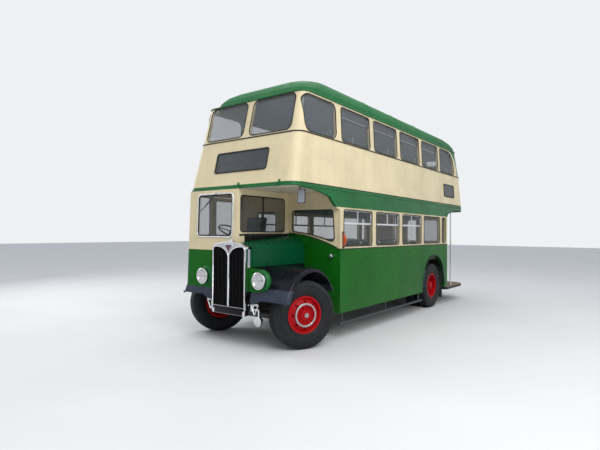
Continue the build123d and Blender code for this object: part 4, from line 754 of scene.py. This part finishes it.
def wheels():
    for side, name in ((1, "left"), (-1, "right")):
        front, rear = f"front_wheel_{name}", f"rear_wheel_{name}"
        place = wheel_place(front, side)
        tyre = built(f"front_tyre_tread_{name}", tyre_mesh, [(place,)], "tyre_rubber", "tyre", front)
        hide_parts(f"tyre_front_{name}")
        twins = [(wheel_place(rear, side, along),) for along in (-TWIN_OFFSET, TWIN_OFFSET)]
        tyre = built(f"rear_tyre_treads_{name}", tyre_mesh, twins, "tyre_rubber", "tyre", rear)
        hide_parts(f"tyres_rear_{name}")
        rings = [(HUB_RING, place, 96), (HUB_CAP, place, 48)]
        built(f"front_wheel_bright_rings_{name}", lathe, rings, "chrome", "dull", front)
        built(f"front_wheel_nuts_{name}", lathe, nut_rows(place, 10, 0.113, 0.103), "red_paint", "red", front)
        rows = nut_rows(wheel_place(rear, side), 10, 0.13, 0.014)
        built(f"rear_wheel_nuts_{name}", lathe, rows, "red_paint", "red", rear)


wheels()


# Radiator
RADIATOR_FRONT = ZERO - 0.745
SCREW = [(0.0, 0.009), (0.003, 0.009), (0.005, 0.005), (0.005, 0.0)]
CAP = [(-0.016, 0.042), (-0.014, 0.047), (0.001, 0.047), (0.005, 0.042), (0.009, 0.02), (0.009, 0.0)]
CAP_RIDGES = 16


def radiator_trim():
    """Beads round the shell and its arches, the middle strip, a bare badge and plate, and the cap."""
    y = RADIATOR_FRONT
    half = [(0.354, 0.5), (0.354, 1.49)] + bend((0.354, 1.49), (0.343, 1.533), (0.3, 1.552))
    outer = half + bend((0.3, 1.552), (0.0, 1.594), (-0.3, 1.552), 16)[1:] + mirrored(half)[1:]
    arch = [(0.013, 0.604), (0.338, 0.604), (0.338, 1.457)]
    arch += bend((0.338, 1.457), (0.322, 1.509), (0.28, 1.525))
    arch += bend((0.28, 1.525), (0.12, 1.497), (0.013, 1.397))[1:]
    loops = [[(x, y - 0.001, z) for x, z in loop] for loop in (outer, arch, [(-x, z) for x, z in arch])]
    tubes("radiator_beads", loops, 0.005, *BRIGHT)
    strip = ((-0.01, y - 0.006, 0.596), (0.01, y + 0.016, 1.398), 0.004)
    built("radiator_middle_strip", rounded_box, [strip], *BRIGHT)
    edge = bend((0.07, 1.53), (0.034, 1.483), (0.004, 1.427))
    badge = bend((-0.078, 1.545), (0.0, 1.559), (0.078, 1.545)) + edge + mirrored(edge)
    badge = [(x, y - 0.005, z) for x, z in badge]
    soft_edges(built("radiator_badge", plate, [(badge, (0.0, 0.007, 0.0))], "black_paint", "enamel"), 0.0015)
    tubes("radiator_badge_rim", [badge], 0.0035, *BRIGHT)
    bm = bmesh.new()
    rounded_box(bm, (-0.3, y - 0.012, 0.494), (0.3, y + 0.002, 0.602), 0.004)
    for x in (-0.255, 0.255):
        lathe(bm, SCREW, facing(x, y - 0.012, 0.548), 12)
    from_bmesh("front_number_plate", bm, "black_paint", "plate")
    bm = bmesh.new()
    top = move((0.0, ZERO - 0.7, 1.634)) @ Matrix.Rotation(-pi / 2, 4, "Y")
    lathe(bm, CAP, top, 40)
    for k in range(CAP_RIDGES):
        turned = top @ Matrix.Rotation(2 * pi * k / CAP_RIDGES, 4, "X")
        rounded_box(bm, (-0.013, -0.003, 0.045), (0.0, 0.003, 0.05), 0.001, turned)
    from_bmesh("radiator_cap", bm, *BRIGHT)
    strip = ((0.384, ZERO - 0.669, 1.214), (0.418, ZERO - 0.656, 1.492), 0.001)
    built("radiator_cheek_edge", rounded_box, [strip], "green_paint", "bonnet")


# Lamps. Profiles are (along, radius) from the plane of the headlamps' rims
LAMP_X, LAMP_Y, LAMP_Z = 0.613, ZERO - 0.7425, 1.035
LAMP_DOME = 0.0195
DOME = [(LAMP_DOME, 0.0), (0.0185, 0.03), (0.0165, 0.055), (0.013, 0.078), (0.007, 0.098), (0.0, 0.1115)]
BOWL = [(-0.068, 0.106), (-0.048, 0.117), (-0.026, 0.1205), (-0.026, 0.1265), (-0.02, 0.1285), (-0.004, 0.1285),
        (0.004, 0.1255), (0.008, 0.119), (0.006, 0.1135), (-0.002, 0.1115), (-0.012, 0.107), (-0.03, 0.09),
        (-0.045, 0.068), (-0.056, 0.042), (-0.061, 0.018), (-0.062, 0.0)]
BULB = [(-0.062, 0.01), (-0.046, 0.01), (-0.04, 0.014), (-0.03, 0.016), (-0.021, 0.011), (-0.018, 0.0)]
COWL = [(-0.086, 0.163), (-0.082, 0.16), (-0.07, 0.147), (-0.056, 0.136), (-0.044, 0.131), (-0.044, 0.121)]
TAIL_GLASS = [(-0.004, 0.034), (0.004, 0.034), (0.012, 0.026), (0.016, 0.012), (0.017, 0.0)]
# Fog lamp and the two small lamps: where each stands, and its radius
SMALL_LAMPS = ((0.56, ZERO - 0.7, 0.43, 0.072), (0.998, BULKHEAD - 0.07, 1.365, 0.038),
               (-HALF - 0.03, ZERO - 0.56, 1.365, 0.03))


def lamps():
    """Headlamps with their bowls, rims, reflectors, bulbs and lenses, then the glasses of the smaller lamps."""
    near, far = facing(LAMP_X, LAMP_Y, LAMP_Z), facing(-LAMP_X, LAMP_Y, LAMP_Z)
    bodies = [([(-depth - 0.002, 0.085)] + BOWL, at, 72) for at, depth in ((near, 0.0825), (far, 0.094))]
    body = built("headlamp_bodies", lathe, bodies, *BRIGHT)
    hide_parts("headlamps")
    built("headlamp_bulbs", lathe, [(BULB, at, 24) for at in (near, far)], "window_glass", "bulb")
    cowls = [(COWL, near @ Matrix.Rotation(radians(70), 4, "X"), 64, radians(215)),
             ([(a - 0.006, r) for a, r in COWL], far, 64)]
    built("headlamp_cowls", lathe, cowls, "green_paint", "green")
    glasses = [(DOME + [(a - 0.003, r) for a, r in DOME[::-1]], at, 72) for at in (near, far)]
    for x, y, z, r in SMALL_LAMPS:
        k = r / 0.122
        shell = [(a * k + 0.002, b * k * 0.98) for a, b in DOME] + [(-0.002, 0.1085 * k)]
        glasses.append((shell, facing(x, y + LAMP_DOME * k, z), 40))
    built("lamp_glasses", lathe, glasses, "window_glass", "lens")
    tails = [(TAIL_GLASS, facing(x, REAR + 0.016, 1.0, 1), 32) for x in (-0.64, CORNER_X - 0.08)]
    built("tail_lamp_glasses", lathe, tails, "red_paint", "ruby")


# Cab, bulkhead and canopy
CAB_WINDOW = ((ZERO - 0.55, ZERO + 0.53), (1.755, 2.33))
CAB_QUARTER = ((ZERO - 0.432, ZERO - 0.115), (1.69, 2.365))
DOOR_PANE = ((ZERO + 0.012, ZERO + 0.528), (1.69, 2.313))
BULKHEAD_PANE = ([(0.2, 2.13)] + bend((0.2, 2.13), (0.165, 2.116), (0.152, 2.08), 5)
                 + bend((0.152, 1.8), (0.162, 1.775), (0.185, 1.765), 5)
                 + bend((0.185, 1.765), (0.6, 1.706), (0.95, 1.612), 10)[1:]
                 + bend((0.95, 1.612), (1.01, 1.625), (1.03, 1.68), 6)[1:]
                 + bend((1.0, 2.085), (0.985, 2.118), (0.95, 2.13), 5))
WIPER_BOSS = [(-0.02, 0.018), (0.018, 0.018), (0.024, 0.012), (0.026, 0.0)]


def cab_trim():
    """The bright windscreen frame, the other windows' rubbers, the cab door's glass and the wiper."""
    loop = rounded_loop(WINDSCREEN_X, WINDSCREEN_Z, 0.075)
    tubes("windscreen_frame", [on_end(loop, cab_y, -0.004)], 0.013, "chrome", "alloy")
    inner = rounded_loop(widened(WINDSCREEN_X, -0.02), widened(WINDSCREEN_Z, -0.02), 0.045)
    rubbers = [on_end(inner, cab_y), [(0.061, y, z) for y, z in rounded_loop(*CAB_WINDOW, 0.05)],
               [(-HALF - 0.001, y, z) for y, z in rounded_loop(*CAB_QUARTER, 0.045)],
               [(x, BULKHEAD - 0.002, z) for x, z in BULKHEAD_PANE]]
    tubes("cab_window_rubbers", rubbers, 0.01, *GASKET)
    loop = [(-HALF - 0.001, y, z) for y, z in rounded_loop(*DOOR_PANE, 0.045)]
    tubes("cab_door_rubber", [loop], 0.008, *GASKET, "cab_door")
    loop = rounded_loop(*(widened(bounds, 0.004) for bounds in DOOR_PANE), 0.047)
    pane = ([(-HALF + 0.015, y, z) for y, z in loop], (0.006, 0.0, 0.0))
    built("cab_door_glass", plate, [pane], "window_glass", "glass", "cab_door")
    strips = [((0.058, ZERO - 0.575, 1.69), (0.066, BULKHEAD - 0.004, 1.722), 0.002),
              ((0.052, ZERO - 0.032, 1.757), (0.066, ZERO - 0.008, 2.328), 0.003)]
    built("cab_side_strips", rounded_box, strips, *DARK)
    arm = [(-0.4, cab_y(2.375) - 0.02, 2.378), (-0.52, cab_y(2.29) - 0.034, 2.29),
           (-0.64, cab_y(2.19) - 0.03, 2.19)]
    blade = [(-0.5, cab_y(2.27) - 0.014, 2.285), (-0.64, cab_y(2.19) - 0.018, 2.19),
             (-0.79, cab_y(2.09) - 0.014, 2.088)]
    bars("wiper_arm", [arm], 0.005, "black_plastic", "rubber")
    bars("wiper_blade", [blade], 0.006, *GASKET)
    boss = (WIPER_BOSS, facing(-0.4, cab_y(2.375) - 0.006, 2.385), 24)
    built("wiper_boss", lathe, [boss], "brushed_steel", "alloy")


def blind_boxes():
    """Bare destination and route boxes with dark frames, the canopy's cleats and the mirrors' glasses."""
    front = rounded_loop((-0.56, 0.56), (2.715, 3.04), 0.035)
    route = rounded_loop((ZERO + 5.51, ZERO + 6.22), (2.68, 2.98), 0.035)
    back = rounded_loop((-0.42, 0.42), (2.7, 2.98), 0.035)
    panes = [(on_end(front, front_y, 0.004), (0.0, -0.008, 0.0)),
             (on_side(route, 1, -0.004), (0.008, 0.0, 0.0)),
             (on_end(back, rear_y, -0.004), (0.0, 0.008, 0.0))]
    built("destination_panes", plate, panes, "black_plastic", "blind")
    frames = [on_end(front, front_y, -0.005), on_side(route, 1, 0.004), on_end(back, rear_y, 0.004)]
    tubes("destination_frames", frames, 0.013, *DARK)
    y, cleats = front_y(2.475), []
    for x in (0.05, 0.88):
        cleats += [((x - 0.012, y - 0.022, 2.432), (x + 0.012, y + 0.008, 2.522), 0.004),
                   ((x - 0.026, y - 0.03, 2.44), (x + 0.026, y - 0.008, 2.456), 0.004)]
    built("canopy_cleats", rounded_box, cleats, "green_paint", "green")
    near = rounded_loop((0.968, 1.092), (CANOPY - 0.232, CANOPY - 0.043), 0.012)
    far = rounded_loop((-SIDE_REACH + 0.004, -HALF - 0.016), (CANOPY - 0.524, CANOPY - 0.316), 0.006)
    glasses = [([(x, ZERO - 0.2615, z) for x, z in near], (0.0, -0.004, 0.0)),
               ([(x, ZERO - 0.4975, z) for x, z in far], (0.0, 0.004, 0.0))]
    built("mirror_glasses", plate, glasses, "chrome", "glazing")


def emergency_glass():
    """The emergency door's two panes, with their rubbers."""
    panes, rims = [], []
    for side in (-1, 1):
        x, z = span(side, 0.035, 0.507), (3.323, 3.792)
        loop = rounded_loop(widened(x, 0.003), widened(z, 0.003), 0.046)
        panes.append((on_end(loop, rear_y, -0.028), (0.0, 0.006, 0.0)))
        rims.append(on_end(rounded_loop(x, z, 0.045), rear_y, 0.001))
    built("emergency_door_glass", plate, panes, "window_glass", "glass", "emergency_door")
    tubes("emergency_door_rubbers", rims, 0.008, *GASKET, "emergency_door")


def both_sides(out, y, z, edge):
    """Rows for rounded_box: the same box on each side of the bus."""
    return [(*zip(span(side, *out), y, z), edge) for side in (-1, 1)]


WING_X, WING_Y, WING_Z, WING_R = 1.126, ZERO - 0.075, 0.568, 0.592
ARCH_Y, ARCH_FOOT, ARCH_TOP = REAR_AXLE - 0.06, 0.4, 1.24


def wing_trim():
    """Rolled edges of the front wings, the lips of the rear arches and the mudflaps."""
    turns = [radians(22 + 142 * k / 32) for k in range(33)]
    rolled = [(WING_Y + WING_R * cos(t), WING_Z + WING_R * sin(t)) for t in turns]
    shoulder = ARCH_FOOT + 0.74 * (ARCH_TOP - ARCH_FOOT)
    front = bend((ARCH_Y - 0.69, ARCH_FOOT), (ARCH_Y - 0.483, shoulder), (ARCH_Y, ARCH_TOP), 14)
    arch = front + [(2 * ARCH_Y - y, z) for y, z in front[::-1]][1:]
    lip = [(y, z) for y, z in arch if z > 0.425]
    edges = [[(side * WING_X, y, z) for y, z in rolled] for side in (-1, 1)]
    # The wing finish is a painted road reflection below 0.9 m, so these edges and lips carry it at their lower
    # ends
    bars("wing_edges", edges, 0.007, "black_paint", "wing")
    lips = [[(side * (HALF + 0.001), y, z) for y, z in lip] for side in (-1, 1)]
    bars("rear_arch_lips", lips, 0.018, "black_paint", "wing")
    flaps = both_sides((0.56, 1.085), (2.29, 2.297), (0.17, 0.621), 0.003)
    built("mudflaps", rounded_box, flaps, *GASKET)


TOWING_X, TOWING_Y = 0.478, ZERO - 0.664


def towing_brackets():
    """Triangles with round corners that hang from bars under the front, each with its lug."""
    loops = []
    for side in (-1, 1):
        x, loop = side * TOWING_X, []
        corners = ((x - 0.078, 0.668), (x + 0.078, 0.668), (x, 0.508))
        for k, corner in enumerate(corners):
            before, after = [tuple(c + (n - c) * 0.14 for c, n in zip(corner, near))
                             for near in (corners[k - 1], corners[(k + 1) % 3])]
            middle = tuple(0.25 * p + 0.5 * q + 0.25 * r for p, q, r in zip(before, corner, after))
            loop += [(px, TOWING_Y, pz) for px, pz in bend(before, middle, after, 5)]
        loops.append(loop)
    tubes("towing_brackets", loops, 0.011, "chrome", "alloy")
    y = (TOWING_Y - 0.014, TOWING_Y + 0.012)
    rows = both_sides(widened((TOWING_X, TOWING_X), 0.075), y, (0.652, 0.688), 0.008)
    rows += both_sides((0.4, 0.466), (TOWING_Y - 0.004, TOWING_Y + 0.016), (0.562, 0.66), 0.003)
    built("towing_bracket_bars", rounded_box, rows, "chrome", "alloy")


INDICATOR_Y = BULKHEAD + 0.09


def indicators():
    """Ear-shaped indicators on dark bases beside the front of the saloon, each in two layers."""
    y = widened((INDICATOR_Y, INDICATOR_Y), 0.026)
    rows = both_sides((HALF - 0.001, HALF + 0.016), y, (1.498, 1.768), 0.006)
    built("indicator_bases", rounded_box, rows, *DARK)
    outline = bend((HALF + 0.002, 1.512), (SIDE_REACH - 0.001, 1.632), (HALF + 0.002, 1.752), 14)
    rows = []
    for side in (-1, 1):
        for width, inset in ((0.021, 0.0), (0.012, 0.003)):
            shrunk = [(x + inset * (x - HALF) / (SIDE_REACH - HALF) - inset, z) for x, z in outline]
            loop = [(side * max(x, HALF + 0.002), INDICATOR_Y - width, z) for x, z in shrunk]
            rows.append((loop, (0.0, 2 * width, 0.0)))
    lens = soft_edges(built("indicator_ears", plate, rows, "red_paint", "orange"), 0.004, 3)
    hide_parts("ear_indicators")


def rear_trim():
    """The bare rear plate, its lamp and the beads across the back."""
    box = ((-0.26, REAR - 0.002, 1.15), (0.26, REAR + 0.008, 1.265), 0.003)
    built("rear_number_plate", rounded_box, [box], "black_paint", "plate")
    box = ((-0.055, REAR - 0.002, 1.275), (0.055, REAR + 0.026, 1.312), 0.008)
    built("rear_plate_lamp", rounded_box, [box], *BRIGHT)
    heights = (LOW_WAIST + 0.006, SKIRT_LINE)
    lines = [[(x, REAR + 0.001, z) for x in (-0.7, CORNER_X - 0.002)] for z in heights]
    bars("rear_band_beads", lines, 0.006, *DARK)


# The roof's section: height above the gutter, and how far in from the wall
ROOF_SECTION = ((0.0, 0.0), (0.1, 0.017), (0.19, 0.062), (0.27, 0.137), (0.34, 0.272), (0.395, 0.502),
                (0.435, 0.872))


def roof_seams():
    """Cover strips across the roof, one over each of the three middle pillars."""
    half = [(HALF - SIDE_LEAN - inward, GUTTER + rise + 0.001) for rise, inward in ROOF_SECTION]
    paths = [[(x, y, z) for x, z in half + mirrored(half)] for y in PILLARS[1:4]]
    bars("roof_cover_strips", paths, 0.005, "green_paint", "roof")


radiator_trim()
lamps()
cab_trim()
blind_boxes()
emergency_glass()
wing_trim()
towing_brackets()
indicators()
rear_trim()
roof_seams()


# Seats
SEAT_PITCH, SEAT_W, SALOON_FLOOR = 0.69, 0.86, 0.66
SEAT_LOW = (HALF - 0.065 - SEAT_W, HALF - 0.065)
SEAT_HIGH = (HALF - 0.138 - SEAT_W, HALF - 0.138)
LOW_START, HIGH_START = BULKHEAD + 0.56, ZERO + 0.33
CUSHION_SIZE, BACK_SIZE = (SEAT_W, 0.405, 0.105), (SEAT_W, 0.5, 0.062)
LONG_CUSHION, LONG_BACK, LONG_Y = (1.27, 0.43, 0.098), (1.27, 0.26, 0.06), REAR_AXLE - 0.045
DRIVER_X, DRIVER_Y = -0.655, ZERO + 0.37
BACK_LEAN = radians(84)


def pad(bm, size, place, crown, edge=0.024):
    """Adds a pad about a matrix's origin: round edges, a crowned top and sides drawn in between its corners."""
    half = [s / 2 for s in size]
    block = bmesh.new()
    bmesh.ops.create_cube(block, size=2.0)
    bmesh.ops.subdivide_edges(block, edges=block.edges[:], cuts=11, use_grid_fill=True)
    for v in block.verts:
        u = [sin(pi / 2 * c) for c in v.co]
        full = [a * h for a, h in zip(u, half)]
        core = Vector([max(-(h - edge), min(h - edge, f)) for f, h in zip(full, half)])
        off = Vector(full) - core
        at = core + (off.normalized() * edge if off.length > 1e-9 else off)
        swell = (1 - u[0] ** 2) * (1 - u[1] ** 2)
        at.z += crown * swell if u[2] > 0 else 0.0
        draw = 0.008 * (1 - u[2] ** 2)
        for i, j in ((0, 1), (1, 0)):
            at[i] -= draw * (1 - u[j] ** 2) * copysign(u[i] ** 6, u[i])
        v.co = place @ at
    shell = bpy.data.meshes.new("pad_shell")
    block.to_mesh(shell)
    block.free()
    bm.from_mesh(shell)
    bpy.data.meshes.remove(shell)


def piping(size, place, lift):
    """The piped seam round a pad, at a height above its middle."""
    loop = rounded_loop(*(widened((-s / 2, s / 2), -0.006) for s in size[:2]), 0.022, 4)
    return [tuple(place @ Vector((x, y, lift))) for x, y in loop]


def leaned(x, y, z):
    """The place of a seat's back, which leans to the rear."""
    return move((x, y, z)) @ Matrix.Rotation(BACK_LEAN, 4, "X")


def bench(name, x, y, floor):
    """A bench for two: a cushion and a back with piped edges, on a tube frame."""
    middle = (x[0] + x[1]) / 2
    cushion = move((middle, y - 0.03, floor + 0.395))
    back = leaned(middle, y + 0.222, floor + 0.675)
    rows = [(CUSHION_SIZE, cushion, 0.02), (BACK_SIZE, back, 0.018, 0.02)]
    piece = built(name, pad, rows, "seat_cloth", "moquette")
    pipes = [piping(CUSHION_SIZE, cushion, 0.04), piping(BACK_SIZE, back, 0.02)]
    legs = ((y - 0.11, floor), (y - 0.07, floor + 0.348), (y + 0.09, floor + 0.348), (y + 0.14, floor))
    rails = [[(end, *at) for at in legs] for end in (x[0] + 0.17, x[1] - 0.17)]
    top, low = (y + 0.272, floor + 0.945), (y + 0.235, floor + 0.37)
    under = (top[0] - 0.004, top[1] - 0.03)
    rails.append([(x[0] + 0.012, *low), (x[0] + 0.012, *under), (x[0] + 0.042, *top),
                  (x[1] - 0.042, *top), (x[1] - 0.012, *under), (x[1] - 0.012, *low)])
    return piece, pipes, rails


def seats():
    """Rows of benches on both decks, the long seats over the rear wheels and the driver's seat."""
    pipes, rails = [], []
    for group, side, out, start, floor, count in (
            ("lower_nearside", 1, SEAT_LOW, LOW_START, SALOON_FLOOR, 4),
            ("lower_offside", -1, SEAT_LOW, LOW_START, SALOON_FLOOR, 4),
            ("upper_nearside", 1, SEAT_HIGH, HIGH_START, UPPER_FLOOR, 9),
            ("upper_offside", -1, SEAT_HIGH, HIGH_START, UPPER_FLOOR, 8)):
        for k in range(count):
            place = (span(side, *out), start + k * SEAT_PITCH, floor)
            piece, piped, tube = bench(f"seat_{group}_{k + 1}", *place)
            pipes += piped
            rails += tube
            if k == 0:
                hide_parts(f"seats_{group}")
    for side, name in ((1, "nearside"), (-1, "offside")):
        turn = Matrix.Rotation(pi / 2, 4, "Z")
        cushion = move((side * 0.856, LONG_Y, 1.2)) @ turn
        back = move((side * 1.045, LONG_Y, 1.39)) @ turn
        back = back @ Matrix.Rotation(side * BACK_LEAN, 4, "X")
        rows = [(LONG_CUSHION, cushion, 0.018), (LONG_BACK, back, 0.014, 0.02)]
        built(f"wheel_box_seat_{name}", pad, rows, "seat_cloth", "moquette")
        pipes.append(piping(LONG_CUSHION, cushion, 0.036))
    tubes("seat_piping", pipes, 0.005, "seat_leather", "hide")
    bars("seat_frames", rails, 0.011, "brushed_steel", "alloy")
    rows = [((0.45, 0.44, 0.118), move((DRIVER_X, DRIVER_Y - 0.01, 1.5)), 0.022),
            ((0.45, 0.47, 0.07), leaned(DRIVER_X, DRIVER_Y + 0.214, 1.79), 0.02)]
    piece = built("driver_seat_pads", pad, rows, "seat_leather", "hide")
    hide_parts("driver_seat")
    post = ((DRIVER_X - 0.065, DRIVER_Y - 0.09, 1.13), (DRIVER_X + 0.065, DRIVER_Y + 0.09, 1.446), 0.01)
    built("driver_seat_pedestal", rounded_box, [post], "black_paint", "black")


seats()


# Floor and light
FLOOR_HALF = 60.0
FLOOR_TONES = ((0.66, 0.655, 0.64), (0.7, 0.695, 0.68))
SKY_TONES = ((0.26, 0.29, 0.31), (0.84, 0.9, 1.0))
BACKDROP = (0.86, 0.88, 0.9)
# Name, place, power in watts and size of each lamp, and the height they all point at
LAMPS = (("key", (9.0, -7.5, 8.5), 860.0, 7.0), ("top", (0.0, 0.0, 11.0), 480.0, 10.0),
         ("fill", (-9.0, -4.0, 6.0), 260.0, 6.0))
AIM = Vector((0, 0, 1.8))


def stage_floor():
    mesh = bpy.data.meshes.new("floor")
    s = FLOOR_HALF
    mesh.from_pydata([(-s, -s, 0), (s, -s, 0), (s, s, 0), (-s, s, 0)], [], [(0, 1, 2, 3)])
    ground = new_object("floor", mesh)
    tree = new_material("studio_floor", Roughness=0.75)
    tone = spread(noise(tree, 0.6, 6.0), 0.0, 1.0)
    surface(tree, mix(tone, *FLOOR_TONES), (noise(tree, 40.0, 6.0), 0.001, 0.2))
    wear(ground, "studio_floor")


def sky():
    """A soft sky that lights the bus. The camera, metal and glass see a plain pale background in its place."""
    world = bpy.data.worlds.new("studio")
    bpy.context.scene.world = world
    world.use_nodes = True
    tree = world.node_tree
    up = axes(add(tree, "TexCoord").outputs["Generated"])["Z"]
    tones = mix(spread(up, 0.0, 1.0, 0.05, 0.6), *SKY_TONES)
    light = feed_all(tree.nodes["Background"], {"Color": tones, "Strength": 0.8})
    seen = add(tree, "Background", Color=BACKDROP, Strength=1.0)
    rays = add(tree, "LightPath").outputs
    shiny = maths("MAXIMUM", rays["Is Glossy Ray"], rays["Is Transmission Ray"])
    both = add(tree, "MixShader", Fac=maths("MAXIMUM", rays["Is Camera Ray"], shiny))
    feed(light.outputs[0], both.inputs[1])
    feed(seen.outputs[0], both.inputs[2])
    feed(both.outputs[0], tree.nodes["World Output"].inputs["Surface"])


def lights():
    for name, at, energy, size in LAMPS:
        lamp = bpy.data.lights.new(name, "AREA")
        lamp.energy = energy
        lamp.size = size
        lit = new_object(name, lamp)
        lit.location = at
        lit.rotation_euler = (AIM - Vector(at)).to_track_quat("-Z", "Y").to_euler()


stage_floor()
sky()
lights()
bpy.context.scene.view_settings.view_transform = "Standard"
